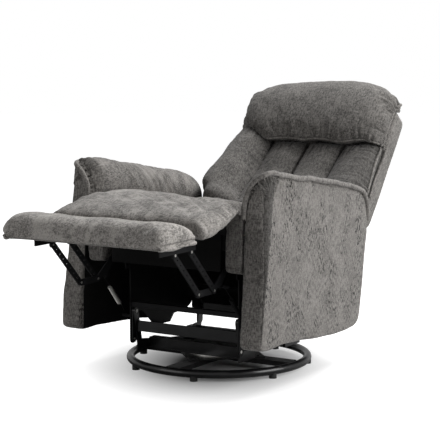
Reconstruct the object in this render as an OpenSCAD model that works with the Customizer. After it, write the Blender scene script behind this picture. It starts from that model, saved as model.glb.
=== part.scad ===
// Swivel glider recliner on a round ring base, drawn with the footrest out and the back laid back.
// World frame: Z up, the sitter faces -Y, the swivel axis is the Z axis, the floor is Z = 0.
// The upholstered body is drawn level and then tilted back about the line Y = 0, Z = tilt_z.

/* [Overall] */
// Width across the outer faces of the arms
chair_w = 712; // [680:2:760]
// Backward tilt of the whole body on its glide links, in degrees
seat_tilt = 4; // [2:0.5:5]
// Height of the line that the body tilts about
tilt_z = 200; // [190:1:210]

/* [Ring base] */
// Radius of the ring's centreline
ring_r = 284; // [270:1:300]
// Radius of the ring's tube
tube_r = 13; // [11:0.5:14]
// Height of the gap between floor and ring
ring_lift = 10; // [8:0.5:14]
// Number of floor glides
foot_n = 7; // [5:1:9]
// Radius of a floor glide
foot_r = 12; // [10:0.5:14]
// Height of a floor glide
foot_h = 17; // [14:0.5:20]
// Width of a spoke of the star
spoke_w = 50; // [40:1:60]
// Thickness of a spoke
spoke_h = 16; // [10:0.5:18]
// Wall of the pressed steel spokes
spoke_wall = 3; // [2:0.25:4]
// Side of the diamond centre plate
diamond_side = 244; // [200:2:260]
// Thickness of the pressed steel plates
plate_t = 4; // [3:0.25:5]

/* [Swivel bearing] */
// Radius of the two races
race_r = 98; // [90:1:105]
// Thickness of a race
race_t = 3.5; // [3:0.25:4.5]
// Radius of the circle that the balls run on
ball_circle_r = 80; // [70:1:84]
// Radius of a bearing ball
ball_r = 4; // [3:0.25:5]
// Number of bearing balls
ball_n = 18; // [12:1:24]
// Radius of the swivel bolt's shank
bolt_r = 8; // [6:0.25:10]
// Radius of the swivel bolt's head
bolt_head_r = 14; // [12:0.5:16]
// Height of the swivel bolt's head
bolt_head_h = 7; // [5:0.5:9]
// Side of the square swivel plate
swivel_side = 252; // [240:2:270]

/* [Swivel frame] */
// Distance of each lower beam from the swivel axis
beam_y = 110; // [100:1:120]
// Depth of a lower beam
beam_d = 30; // [24:1:36]
// Height of a lower beam
beam_h = 33; // [28:1:38]
// Distance of a post's inner face from the arm's inner face
post_inset = 99; // [95:1:105]
// Thickness of a post
post_t = 5; // [4:0.25:6]
// Width of a post
post_w = 32; // [26:1:36]
// Distance of the glide pins in front of and behind the swivel axis
glide_y = 196; // [188:1:204]
// Height of the upper glide pins
glide_top_z = 180; // [170:1:184]
// Length of a hanging link between its pins
glide_l = 90; // [80:1:96]
// Radius of a post's head round its pin
post_head_r = 11; // [9:0.5:12]
// Radius of the glide pins
glide_pin_r = 5; // [4:0.25:6]
// Distance of the spreader bars from the swivel axis
spreader_y = 184; // [178:1:190]
// Height of the spreader bars' lower edge
spreader_z = 115; // [105:1:125]
// Height of a spreader bar's face
spreader_h = 34; // [24:1:38]

/* [Hanging links and plates] */
// Thickness of a hanging link
link_t = 3; // [2.5:0.25:3.5]
// Width of a hanging link
link_w = 22; // [18:1:24]
// Side gap between parts that swing past each other
side_gap = 2; // [1.5:0.25:2.5]
// Width of the hanging plate's lug round its pin
lug_w = 28; // [24:1:32]
// Height of the hanging plate above the tilt line
hang_rise = 118; // [110:1:125]
// Height of the cross rails' lower face
rail_z = 195; // [194:0.5:200]
// Height of a cross rail
rail_h = 15; // [12:0.5:18]
// Depth of a cross rail
rail_d = 18; // [14:1:22]

/* [Mechanism] */
// Top edge of the mechanism plates, which carries the seat frame
mech_top = 395; // [390:1:400]
// Lower edge of the mechanism plates
mech_low = 300; // [290:1:310]
// Distance of the crank pivot in front of the swivel axis
crank_y = 265.8; // [258:0.2:272]
// Height of the crank pivot
crank_z = 370.5; // [366:0.5:374]
// Distance of the footrest's turning centre in front of the swivel axis
fold_y = 404.6; // [396:0.2:412]
// Height of the footrest's turning centre
fold_z = 492.1; // [486:0.1:498]
// Forward offset of the front rivet from the footrest's turning centre
front_rivet_dy = 195.4; // [188:0.2:202]
// Drop of the front rivet under the footrest's turning centre
front_rivet_dz = 97.1; // [94:0.1:100]
// Forward offset of the rear rivet from the footrest's turning centre
rear_rivet_dy = 110.4; // [104:0.2:116]
// Drop of the rear rivet under the footrest's turning centre
rear_rivet_dz = 91.1; // [88:0.1:94]
// Thickness of the cranks, links and brackets
bar_t = 4; // [3:0.25:4]
// Width of a linkage bar
bar_w = 20; // [16:1:22]
// Side gap between the linkage bars
bar_gap = 0.5; // [0.4:0.1:0.8]
// Radius of the linkage rivets
rivet_r = 4; // [3:0.25:5]
// Height of a rivet's head
rivet_head_h = 2.5; // [2:0.25:3]
// Distance of the recline pivot behind the swivel axis
hinge_y = 270; // [264:1:276]
// Height of the recline pivot
hinge_z = 400; // [396:1:404]
// Radius of the recline pins
hinge_r = 6; // [5:0.25:7]
// Radius of the lugs round the recline pins
hinge_lug_r = 16; // [14:0.5:17]

/* [Footrest spring] */
// Forward place of the spring's pin on the crank
spring_pin_y = 334; // [328:1:340]
// Height of the spring's pin on the crank
spring_pin_z = 288; // [282:1:294]
// Forward place of the spring's fixed pin
spring_end_y = 196; // [192:1:200]
// Height of the spring's fixed pin
spring_end_z = 150; // [144:1:156]
// Radius of the spring's curls, to the middle of the wire
curl_r = 6; // [5:0.25:7]
// Radius of the spring wire
wire_r = 1.5; // [1.25:0.05:1.75]
// Number of curls
curl_n = 16; // [12:1:18]
// Share of the spring's free length that the curls take up
curl_share = 0.62; // [0.55:0.01:0.7]

/* [Arms] */
// Thickness of an arm
arm_t = 71; // [64:1:78]
// Distance of the arm's front in front of the swivel axis
arm_front = 335; // [325:1:345]
// Length of an arm from front to rear
arm_d = 667; // [655:1:680]
// Height of the arm's lower edge
arm_low = 115; // [110:1:125]
// Height of an arm
arm_h = 513; // [505:1:525]
// Thickness of the padding on the arm's inner face
arm_inner_wall = 5; // [4:0.5:8]
// Thickness of the padding on the arm's outer face
arm_outer_wall = 24; // [20:1:28]
// Thickness of the padding on the arm's front, top and rear
arm_edge_wall = 14; // [10:1:18]
// Height of the arm pad's crest above the arm
pad_rise = 20; // [14:1:26]
// Reach of the arm pad inside the arm
pad_reach = 34; // [30:1:35]
// Distance that the arm pad hangs down on the inner face
pad_drop = 84; // [70:1:92]

/* [Seat] */
// Gap between the seat cushion and the arm
seat_inset = 37; // [36:1:43]
// Gap between the seat frame and the arm
frame_inset = 23; // [19:1:29]
// Distance of the seat's front in front of the swivel axis
seat_front = 316; // [310:1:322]
// Distance of the seat cushion's rear behind the swivel axis
seat_rear = 208; // [196:1:210]
// Distance of the seat frame's rear behind the swivel axis
frame_rear = 200; // [190:1:204]
// Height of the seat frame's rails
frame_h = 45; // [40:1:50]
// Thickness of the seat frame's rails
frame_t = 26; // [22:1:30]
// Thickness of the seat cushion at its rim
cushion_h = 66; // [56:1:76]
// Crown of the seat cushion
seat_crown = 24; // [16:1:30]
// Extra rise of the seat cushion at its front
seat_front_rise = 26; // [16:1:32]
// Drawing in of the cushion sides
draw_in = 9; // [6:1:12]
// Number of seat springs
spring_n = 4; // [3:1:5]
// Radius of the seat springs' wire
zigzag_r = 2; // [1.5:0.25:2.5]
// Distance of the rear panel in front of the arm's rear end
panel_inset = 45.7; // [30:0.1:50]

/* [Front of the seat] */
// Gap between the black cloth band and the arm
band_inset = 86; // [85:1:95]
// Height of the band's lower edge
band_low = 330; // [322:1:340]
// Thickness of the cloth band
band_t = 3; // [2:0.5:4]
// Width of a corner block
block_w = 54; // [48:1:57]
// Distance of a corner block's inner face from the arm
block_inset = 60; // [58:1:62]
// Depth of a corner block
block_d = 58; // [50:1:64]
// Height of the corner block's lower face
block_low = 327; // [320:1:336]
// Forward reach of the corner block past the seat front
block_reach = 16; // [12:1:18]
// Corner radius of a corner block
block_round = 14; // [8:1:20]

/* [Footrest] */
// Gap between each end of the footrest and the arm's inner face
foot_inset = 11.5; // [7:0.5:25]
// Forward distance of the footrest's front from the swivel axis
foot_front = 743; // [725:1:755]
// Length of the footrest from front to rear
foot_d = 191; // [176:1:203]
// Height of the footrest board's underside above the tilt line, before the tilt
foot_low = 270; // [264:1:276]
// Thickness of the footrest board
board_t = 12; // [9:1:15]
// Padding beyond the board's edges
board_margin = 14; // [10:1:18]
// Thickness of the footrest pad at its front edge
bolster_h = 44; // [38:1:50]
// Crown of the footrest pad
bolster_crown = 18; // [12:1:24]
// Gap between the calf pad and the arm
calf_inset = 21; // [15:1:29]
// Thickness of the calf pad at the footrest
calf_h = 56; // [46:1:64]
// Crown of the calf pad
calf_crown = 22; // [14:1:28]

/* [Back] */
// Recline of the back from the body's upright, in degrees
back_angle = 34; // [30:0.5:36]
// Distance of the back's reference point behind the swivel axis
back_y = 484; // [478:1:490]
// Height of the back's reference point
back_z = 452; // [446:1:458]
// Gap between the back and the arm, below the arm's top
back_inset = 40; // [39:1:47]
// Gap between the back and the plane of the arm's inner face, above the arm
wing_inset = 1; // [0.5:0.5:9]
// Length of the back above its reference point
back_up = 420; // [408:1:430]
// Length of the back below its reference point
back_down = 165; // [155:1:172]
// Depth of the back's box
shell_d = 62; // [56:1:68]
// Wall of the back's box
shell_wall = 8; // [6:0.5:10]
// Place along the back where it begins to widen
widen_low = -60; // [-66:1:-56]
// Place along the back where it reaches its full width
widen_high = -10; // [-14:1:0]
// Thickness of the timber in the back
stile_t = 26; // [22:1:30]
// Depth of the timber in the back
stile_d = 40; // [34:1:44]
// Height of the back cushion's channels above their seams
channel_rise = 20; // [14:1:26]
// Thickness of the head pillow in front of the back's box
pillow_d = 92; // [80:1:100]
// Height of the head pillow in the middle
pillow_h = 248; // [238:1:260]
// Place of the head pillow's lower edge along the back
pillow_low = 248; // [240:1:256]

/* [Release] */
// Place of the release housing behind the swivel axis
release_y = -60; // [-70:1:-50]
// Height of the release cable and housing
release_z = 360; // [352:1:368]
// Length of the release housing
release_w = 92; // [84:1:100]
// Height of the release housing
release_h = 62; // [56:1:70]
// Depth of the release housing in the arm
release_d = 15; // [12:0.5:18]
// Wall of the release housing
release_wall = 3; // [2:0.25:4]
// Width of the housing's outer rim
bezel_w = 7; // [5:0.5:9]
// Thickness of the housing's outer rim
bezel_t = 2; // [1.5:0.25:3]
// Radius of the release cable's sleeve
cable_r = 3; // [2.5:0.25:3.5]
// Thickness of the pull handle
pull_t = 4; // [3:0.25:5]

/* [Hidden] */

$fn = 48;
// Clearance between seated pieces
fit = 0.3;
// Radial clearance of a running pin in its bore
run = 0.06;
// Overrun of a cut past the face that it opens
over = 1;

steel_black = [0.07, 0.07, 0.075];
zinc = [0.72, 0.72, 0.7];
timber = [0.72, 0.58, 0.4];
fabric = [0.42, 0.41, 0.4];
fabric_dark = [0.36, 0.35, 0.34];
black_cloth = [0.1, 0.1, 0.1];
plastic = [0.12, 0.12, 0.12];

// Base heights, from the floor up
ring_z = ring_lift + tube_r;
spoke_top = ring_z + spoke_h / 2 + (tube_r - spoke_h / 2) / 2;
star_top = spoke_top + plate_t;
lower_race_top = star_top + race_t;
// The balls sit half a radius deep in both races
ball_z = lower_race_top + ball_r / 2;
ball_seat_top = lower_race_top + ball_r;
swivel_low = ball_seat_top + race_t;
beam_low = swivel_low + plate_t;

// Places across the chair, from the middle out
arm_out = chair_w / 2;
arm_in = arm_out - arm_t;
post_x = arm_in - post_inset;
link_x = post_x + post_t + side_gap;
hang_x = link_x + link_t + side_gap;
mech_x = hang_x + bar_t;
crank_x = mech_x + bar_t + bar_gap;
bar_x = crank_x + bar_t + bar_gap;
web_x = bar_x + bar_t + bar_gap;
spring_x = web_x + bar_t + bar_gap + curl_r + wire_r + side_gap;
seat_half = arm_in - seat_inset;
frame_half = arm_in - frame_inset;
band_half = arm_in - band_inset;
block_x = arm_in - block_inset;
foot_w = 2 * (arm_in - foot_inset);
calf_half = arm_in - calf_inset;
back_half = arm_in - back_inset;
wing_half = arm_in - wing_inset;

// Turning points of the footrest linkage, as places in the plane of the linkage
crank_p = [-crank_y, crank_z];
fold_p = [-fold_y, fold_z];
front_b = fold_p + [-front_rivet_dy, -front_rivet_dz];
rear_b = fold_p + [-rear_rivet_dy, -rear_rivet_dz];
front_c = crank_p + [-front_rivet_dy, -front_rivet_dz];
rear_c = crank_p + [-rear_rivet_dy, -rear_rivet_dz];
hinge_p = [hinge_y, hinge_z];

// General helpers

// Tilts the level body back to its place on the links
module body_frame() {
    translate([0, 0, tilt_z])
        rotate([-seat_tilt, 0, 0])
            translate([0, 0, -tilt_z])
                children();
}

// A pair mirrored about the middle of the chair
module both_sides() {
    children();
    mirror([1, 0, 0])
        children();
}

// A pair mirrored front to rear
module front_and_rear() {
    children();
    mirror([0, 1, 0])
        children();
}

// A flat plate in the plane of the linkage, from x to x + t
module side_plate(points, x, t) {
    translate([x, 0, 0])
        rotate([90, 0, 90])
            linear_extrude(t)
                polygon(points);
}

// A round bar across the chair at place p, from x0 to x1
module cross_bar(p, r, x0, x1) {
    translate([x0, p[0], p[1]])
        rotate([0, 90, 0])
            cylinder(r = r, h = x1 - x0);
}

// The four corners of a flat bar of width w between places a and b
function bar_corners(a, b, w) =
    let (d = b - a, n = [-d[1], d[0]] / norm(d) * w / 2)
    [a + n, a - n, b - n, b + n];

// A flat bar with round ends between places a and b
module flat_bar(a, b, w, x, t) {
    side_plate(bar_corners(a, b, w), x, t);
    cross_bar(a, w / 2, x, x + t);
    cross_bar(b, w / 2, x, x + t);
}

// A bore across the chair through a plate from x to x + t
module bore(p, r, x, t) {
    cross_bar(p, r, x - over, x + t + over);
}

// Mean of a list of points
function mean_point(points) = [for (k = [0 : 2]) sum_of([for (p = points) p[k]]) / len(points)];
function sum_of(values, i = 0) = i < len(values) ? values[i] + sum_of(values, i + 1) : 0;

// A closed skin through rings of equal count, with a fan at each end
module skin(rings, first_tip, last_tip) {
    n = len(rings[0]);
    m = len(rings);
    side_faces = [
        for (i = [0 : m - 2], j = [0 : n - 1])
            let (a = i * n + j, b = i * n + (j + 1) % n)
            each [[a, b, b + n], [a, b + n, a + n]]
    ];
    first_faces = [for (j = [0 : n - 1]) [m * n, (j + 1) % n, j]];
    last_faces = [for (j = [0 : n - 1]) [m * n + 1, (m - 1) * n + j, (m - 1) * n + (j + 1) % n]];
    polyhedron(
        points = concat([for (ring = rings) each ring], [first_tip, last_tip]),
        faces = concat(side_faces, first_faces, last_faces)
    );
}

// Rings in the opposite order, so that a skin's faces look outward
function backwards(rings) = [for (i = [len(rings) - 1 : -1 : 0]) rings[i]];

// A smooth rise from 0 to 1 as t goes from 0 to 1
function ease(t) = let (s = min(1, max(0, t))) s * s * (3 - 2 * s);

// A value on a soft bulge that is 1 in the middle and 0 at both ends of -1 to 1
function bulge(t, sharp = 4) = 1 - pow(min(1, abs(t)), sharp);

// Base

module base_ring() {
    color(steel_black)
        translate([0, 0, ring_z])
            rotate_extrude($fn = 96)
                translate([ring_r, 0])
                    circle(r = tube_r);
}

module star_base() {
    reach = ring_r - tube_r - fit;
    color(steel_black)
        difference() {
            union() {
                for (a = [0, 90])
                    rotate([0, 0, a])
                        translate([-reach, -spoke_w / 2, spoke_top - spoke_h])
                            cube([2 * reach, spoke_w, spoke_h]);
                rotate([0, 0, 45])
                    translate([-diamond_side / 2, -diamond_side / 2, spoke_top])
                        cube([diamond_side, diamond_side, plate_t]);
            }
            for (a = [0 : 90 : 270])
                rotate([0, 0, a])
                    translate([spoke_w / 2 + bolt_head_r, -spoke_w / 2 + spoke_wall, spoke_top - spoke_h - over])
                        cube([reach, spoke_w - 2 * spoke_wall, spoke_h - spoke_wall + over]);
            cylinder(r = bolt_r + run, h = star_top + over);
            cylinder(r = bolt_head_r + fit, h = spoke_top - spoke_h / 2);
            translate([0, 0, ring_z])
                rotate_extrude($fn = 96)
                    translate([ring_r, 0])
                        circle(r = tube_r + fit);
        }
}

module floor_glides() {
    first_foot = -125.4;
    color(plastic)
        for (i = [0 : foot_n - 1])
            rotate([0, 0, first_foot + i * 360 / foot_n])
                difference() {
                    translate([ring_r, 0, 0])
                        cylinder(r = foot_r, h = foot_h);
                    translate([0, 0, ring_z])
                        rotate_extrude($fn = 96)
                            translate([ring_r, 0])
                                circle(r = tube_r + run);
                }
}

// A flat race with a round groove for the balls, its groove on the upper face
module race() {
    difference() {
        cylinder(r = race_r, h = race_t, $fn = 64);
        translate([0, 0, race_t + ball_r / 2])
            rotate_extrude($fn = 64)
                translate([ball_circle_r, 0])
                    circle(r = ball_r + run);
        translate([0, 0, -over])
            cylinder(r = bolt_r + run, h = race_t + 2 * over);
    }
}

module lower_race() {
    color(zinc)
        translate([0, 0, star_top])
            race();
}

module upper_race() {
    color(zinc)
        translate([0, 0, ball_seat_top + race_t])
            mirror([0, 0, 1])
                race();
}

module bearing_balls() {
    color(zinc)
        for (i = [0 : ball_n - 1])
            rotate([0, 0, i * 360 / ball_n])
                translate([ball_circle_r, 0, ball_z])
                    sphere(r = ball_r, $fn = 24);
}

module ball_cage() {
    cage_w = 3 * ball_r;
    cage_h = ball_r / 2;
    color(plastic)
        difference() {
            translate([0, 0, ball_z - cage_h / 2])
                difference() {
                    cylinder(r = ball_circle_r + cage_w / 2, h = cage_h, $fn = 64);
                    translate([0, 0, -over])
                        cylinder(r = ball_circle_r - cage_w / 2, h = cage_h + 2 * over, $fn = 64);
                }
            for (i = [0 : ball_n - 1])
                rotate([0, 0, i * 360 / ball_n])
                    translate([ball_circle_r, 0, ball_z - cage_h])
                        cylinder(r = ball_r + fit, h = 2 * cage_h, $fn = 24);
        }
}

// Swivel frame

module swivel_plate() {
    color(steel_black)
        difference() {
            translate([-swivel_side / 2, -swivel_side / 2, swivel_low])
                cube([swivel_side, swivel_side, plate_t]);
            translate([0, 0, swivel_low - over])
                cylinder(r = bolt_r + run, h = plate_t + 2 * over);
        }
}

module swivel_bolt() {
    nut_r = bolt_head_r - 2 * run;
    color(zinc)
        union() {
            translate([0, 0, spoke_top - spoke_h / 2 - bolt_head_h - fit])
                cylinder(r = bolt_head_r, h = bolt_head_h, $fn = 6);
            translate([0, 0, spoke_top - spoke_h / 2 - bolt_head_h - fit])
                cylinder(r = bolt_r, h = beam_low + bolt_head_h - spoke_top + spoke_h / 2 + bolt_head_h);
            translate([0, 0, beam_low + fit])
                cylinder(r = nut_r, h = bolt_head_h, $fn = 6);
        }
}

// A lower beam: a channel open to the rear, with closed ends
module lower_beam() {
    wall = plate_t;
    difference() {
        translate([-post_x, -beam_y - beam_d / 2, beam_low])
            cube([2 * post_x, beam_d, beam_h]);
        translate([-post_x + wall, -beam_y - beam_d / 2 + wall, beam_low + wall])
            cube([2 * (post_x - wall), beam_d, beam_h - 2 * wall]);
    }
}

module front_lower_beam() {
    color(steel_black)
        lower_beam();
}

module rear_lower_beam() {
    color(steel_black)
        mirror([0, 1, 0])
            lower_beam();
}

// A post of the side wing: a foot on the beam's end and a limb that leans out to the pin
post_pin = [-glide_y, glide_top_z];
post_knee_y = 174;
post_foot_top_share = 0.72;

module post() {
    knee = [-post_knee_y, beam_low + post_w / 2];
    foot_points = [
        [-beam_y + beam_d / 2, beam_low],
        [-post_knee_y - post_w / 2, beam_low],
        [-post_knee_y - post_w / 2, beam_low + post_w / 2],
        [-post_knee_y + post_w / 2, beam_low + beam_h],
        [-beam_y + beam_d / 2, beam_low + beam_h * post_foot_top_share],
    ];
    difference() {
        union() {
            side_plate(foot_points, post_x, post_t);
            side_plate(bar_corners(knee, post_pin, post_w * post_foot_top_share), post_x, post_t);
            cross_bar(post_pin, post_head_r, post_x, post_x + post_t);
        }
        bore(post_pin, glide_pin_r, post_x, post_t);
    }
}

module front_posts() {
    color(steel_black)
        both_sides()
            post();
}

module rear_posts() {
    color(steel_black)
        mirror([0, 1, 0])
            both_sides()
                post();
}

// A spreader bar: an angle between the posts, its face to the outside
module spreader_bar() {
    wall = plate_t;
    depth = post_w / 2;
    translate([-post_x, -spreader_y - depth / 2, spreader_z])
        cube([2 * post_x, wall, spreader_h]);
    translate([-post_x, -spreader_y - depth / 2, spreader_z])
        cube([2 * post_x, depth, wall]);
}

module front_spreader_bar() {
    color(steel_black)
        spreader_bar();
}

module rear_spreader_bar() {
    color(steel_black)
        mirror([0, 1, 0])
            spreader_bar();
}

// A glide pin from x0 to x1 with a head at each end
module glide_pin(p, x0, x1, x_flange) {
    cross_bar(p, glide_pin_r, x0, x1);
    cross_bar(p, glide_pin_r + side_gap, x_flange, x_flange + side_gap - bar_gap);
}

module upper_glide_pins() {
    color(zinc)
        front_and_rear()
            both_sides()
                difference() {
                    glide_pin(post_pin, post_x - side_gap, link_x + link_t + side_gap / 2, post_x + post_t);
                    // hollow rivet end
                    cross_bar(post_pin, glide_pin_r / 2, link_x + link_t, link_x + link_t + side_gap);
                }
}

low_pin = [-glide_y, glide_top_z - glide_l];

module lower_glide_pins() {
    color(zinc)
        front_and_rear()
            both_sides()
                difference() {
                    glide_pin(low_pin, link_x - side_gap / 2, hang_x + bar_t, link_x + link_t + bar_gap);
                    // hollow rivet end
                    cross_bar(low_pin, glide_pin_r / 2, link_x - side_gap, link_x);
                }
}

module hanging_link() {
    difference() {
        flat_bar(post_pin, low_pin, link_w, link_x, link_t);
        bore(post_pin, glide_pin_r + run, link_x, link_t);
        bore(low_pin, glide_pin_r + run, link_x, link_t);
    }
}

module front_hanging_links() {
    color(steel_black)
        both_sides()
            hanging_link();
}

module rear_hanging_links() {
    color(steel_black)
        mirror([0, 1, 0])
            both_sides()
                hanging_link();
}

// Chassis, the steel parts

// A place in the level body frame as a place in the world, and back
function world_y(p) = p[0] * cos(seat_tilt) + (p[1] - tilt_z) * sin(seat_tilt);
function world_z(p) = tilt_z - p[0] * sin(seat_tilt) + (p[1] - tilt_z) * cos(seat_tilt);
function level_y(p) = p[0] * cos(seat_tilt) - (p[1] - tilt_z) * sin(seat_tilt);
function level_z(p) = tilt_z + p[0] * sin(seat_tilt) + (p[1] - tilt_z) * cos(seat_tilt);

// The hanging plate dips between its two lugs. Shares of the pin spacing and of the link length.
dip_shares = [[-0.735, 0.93], [-0.383, 0.256], [0.077, 0.233], [0.24, 0.6], [0.86, 0.93]];
module hanging_plate() {
    lug_front = -glide_y - lug_w / 2;
    lug_rear = glide_y + lug_w / 2;
    lug_top = low_pin[1] + glide_l * dip_shares[0][1];
    points = concat(
        [
            [lug_front, low_pin[1]],
            [-glide_y + lug_w / 2, low_pin[1]],
            [-glide_y + lug_w / 2, lug_top],
        ],
        [for (s = dip_shares) [s[0] * glide_y, low_pin[1] + glide_l * s[1]]],
        [
            [glide_y - lug_w / 2, lug_top],
            [glide_y - lug_w / 2, low_pin[1]],
            [lug_rear, low_pin[1]],
            [lug_rear, tilt_z + hang_rise - glide_y * sin(seat_tilt)],
            [lug_front, tilt_z + hang_rise + glide_y * sin(seat_tilt)],
        ]
    );
    spring_anchor = [world_y([-spring_end_y, spring_end_z]), world_z([-spring_end_y, spring_end_z])];
    difference() {
        union() {
            side_plate(points, hang_x, bar_t);
            cross_bar(low_pin, lug_w / 2, hang_x, hang_x + bar_t);
            cross_bar([glide_y, low_pin[1]], lug_w / 2, hang_x, hang_x + bar_t);
        }
        bore(low_pin, glide_pin_r, hang_x, bar_t);
        bore([glide_y, low_pin[1]], glide_pin_r, hang_x, bar_t);
    }
    difference() {
        cross_bar(spring_anchor, rivet_r, hang_x + bar_t, spring_x + curl_r + wire_r);
        cross_bar(spring_anchor, wire_r, spring_x + curl_r, spring_x + curl_r + 2 * wire_r);
    }
}

module hanging_plate_right() {
    color(steel_black)
        hanging_plate();
}

module hanging_plate_left() {
    color(steel_black)
        mirror([1, 0, 0])
            hanging_plate();
}

// A mechanism plate in the level body frame: crank lug in front, hinge lug behind
module mechanism_plate() {
    lug = bar_w - rivet_r;
    points = [
        [crank_p[0] - lug, mech_top],
        [crank_p[0] - lug, crank_p[1] - lug],
        [crank_p[0] + lug, crank_p[1] - lug],
        [crank_p[0] + 2 * lug, mech_low],
        [hinge_p[0] + hinge_lug_r, mech_low],
        [hinge_p[0] + hinge_lug_r, hinge_p[1]],
        [hinge_p[0] - hinge_lug_r, hinge_p[1]],
        [frame_rear + hinge_lug_r, mech_top],
    ];
    difference() {
        union() {
            side_plate(points, mech_x, bar_t);
            cross_bar(hinge_p, hinge_lug_r, mech_x, mech_x + bar_t);
        }
        bore(crank_p, rivet_r, mech_x, bar_t);
        bore(hinge_p, hinge_r, mech_x, bar_t);
    }
}

module mechanism_plate_right() {
    color(steel_black)
        body_frame()
            mechanism_plate();
}

module mechanism_plate_left() {
    color(steel_black)
        body_frame()
            mirror([1, 0, 0])
                mechanism_plate();
}

// A cross rail: a channel between the hanging plates
module cross_rail() {
    wall = bar_t / 2;
    difference() {
        translate([-hang_x, -glide_y - rail_d / 2 - wall, rail_z])
            cube([2 * hang_x, rail_d, rail_h]);
        translate([-hang_x + wall, -glide_y - rail_d / 2, rail_z - over])
            cube([2 * (hang_x - wall), rail_d - 2 * wall, rail_h - wall + over]);
    }
}

module front_cross_rail() {
    color(steel_black)
        cross_rail();
}

module rear_cross_rail() {
    color(steel_black)
        mirror([0, 1, 0])
            cross_rail();
}

// A bracket from the mechanism plate out to the arm, with a flange at each end
bracket_front_y = 120;
bracket_rear_y = 180;
bracket_l = 40;
bracket_flange = 30;
module arm_bracket(y) {
    x0 = mech_x + bar_t;
    translate([x0, y, mech_low])
        cube([arm_in - x0, bracket_l, bar_t]);
    translate([x0, y, mech_low])
        cube([bar_t, bracket_l, bracket_flange]);
    translate([arm_in - bar_t, y, mech_low])
        cube([bar_t, bracket_l, bracket_flange]);
}

module arm_brackets() {
    color(steel_black)
        body_frame()
            both_sides() {
                arm_bracket(-bracket_front_y);
                arm_bracket(bracket_rear_y);
            }
}

// Arms

// The arm's outline as shares of its length and height, from the lower front corner up and round
arm_shares = [
    [0, 0], [0, 0.985], [0.02, 1.0], [0.289, 0.973], [0.54, 0.953], [0.753, 0.932], [0.876, 0.901],
    [0.938, 0.868], [0.978, 0.8], [1.0, 0.68], [0.985, 0.505], [0.976, 0.333], [0.959, 0.188],
    [0.949, 0.1], [0.936, 0.056], [0.901, 0.029], [0.828, 0.013], [0.714, 0],
];

// The outline drawn in by a wall on the front, top and rear
function arm_points(wall, low) = [
    for (s = arm_shares)
        [-arm_front + wall + s[0] * (arm_d - 2 * wall), low + s[1] * (arm_h + arm_low - wall - low)]
];

frame_x = arm_in + arm_inner_wall;
arm_frame_t = arm_t - arm_inner_wall - arm_outer_wall;

// The cable's bore across an arm from x0 to x1
module cable_bore(x0, x1) {
    cross_bar([release_y, release_z], cable_r + fit, x0, x1);
}

module arm_frame() {
    side_plate(arm_points(arm_edge_wall + fit, arm_low), frame_x + fit, arm_frame_t - 2 * fit);
}

module arm_cover() {
    difference() {
        side_plate(arm_points(0, arm_low), arm_in, arm_t);
        side_plate(arm_points(arm_edge_wall, arm_low - over), frame_x, arm_frame_t);
    }
}

module arm_frame_right() {
    color(timber)
        body_frame()
            arm_frame();
}

module arm_cover_right() {
    color(fabric)
        body_frame()
            arm_cover();
}

// The far arm carries the release housing on its outer face
module arm_frame_left() {
    color(timber)
        body_frame()
            mirror([1, 0, 0])
                difference() {
                    arm_frame();
                    cable_bore(frame_x - over, frame_x + arm_frame_t + over);
                }
}

module arm_cover_left() {
    color(fabric)
        body_frame()
            mirror([1, 0, 0])
                difference() {
                    arm_cover();
                    cable_bore(arm_in - over, frame_x + over);
                    cable_bore(frame_x + arm_frame_t - over, arm_out);
                    translate([arm_out - release_d - fit, release_y - release_w / 2 - fit,
                        release_z - release_h / 2 - fit])
                        cube([release_d + fit + over, release_w + 2 * fit, release_h + 2 * fit]);
                }
}

// Height of the arm's upper edge over the length of the arm
arm_top_table = [for (i = [2 : 6]) [-arm_front + arm_shares[i][0] * arm_d, arm_low + arm_shares[i][1] * arm_h]];
function arm_top(y) = lookup(y, arm_top_table);

// The pad's section: across from the inner face out, and up from its lower edge or the arm's top
pad_w = arm_t + pad_reach - fit;
pad_upper_shares = [
    [0.975, 0.15], [0.93, 0.5], [0.84, 0.82], [0.7, 1.0], [0.5, 1.0], [0.32, 0.82], [0.18, 0.45],
    [0.08, -0.2], [0.015, -1.1],
];
pad_lower_shares = [[0, 0.5], [0.01, 0.28], [0.06, 0.09], [0.16, 0], [0.27, 0.01]];
pad_steps = 5;

// How far the section swells at a place along the pad, drawn in at both ends
function pad_swell(t) = pow(bulge(2 * t - 1, 6), 0.5);

function pad_ring(y, t) =
    let (
        x0 = arm_in - pad_reach,
        top = arm_top(y) + fit,
        swell = 0.25 + 0.75 * pad_swell(t),
        low = top - pad_drop * swell,
        reach = pad_reach * swell,
        wide = arm_t * (0.9 + 0.1 * pad_swell(t))
    )
    [
        for (s = pad_upper_shares)
            let (across = s[0] * pad_w - pad_reach)
            [across < 0 ? arm_in + across * swell - fit : arm_in + across * wide / arm_t, y,
                top + s[1] * pad_rise * swell],
        for (s = pad_lower_shares)
            [arm_in - fit - (pad_reach - s[0] * pad_w) * swell, y, low + s[1] * pad_drop * swell],
        [arm_in - fit, y, low + 0.06 * pad_drop],
        [arm_in - fit, y, top - pad_drop * swell / 2],
        [arm_in - fit, y, top],
        [arm_in + wide * 0.5, y, top],
    ];

module arm_pad() {
    y_points = [
        for (i = [0 : len(arm_top_table) - 2], k = [0 : pad_steps - 1])
            arm_top_table[i][0] + (arm_top_table[i + 1][0] - arm_top_table[i][0]) * k / pad_steps,
        arm_top_table[len(arm_top_table) - 1][0],
    ];
    y0 = y_points[0];
    y1 = y_points[len(y_points) - 1];
    rings = [for (y = y_points) pad_ring(y, (y - y0) / (y1 - y0))];
    skin(rings, [arm_in - 2 * fit, y0, arm_top(y0) + 2 * fit], [arm_in - 2 * fit, y1, arm_top(y1) + 2 * fit]);
}

module arm_pad_right() {
    color(fabric)
        body_frame()
            arm_pad();
}

module arm_pad_left() {
    color(fabric)
        body_frame()
            mirror([1, 0, 0])
                arm_pad();
}

// Seat

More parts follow.
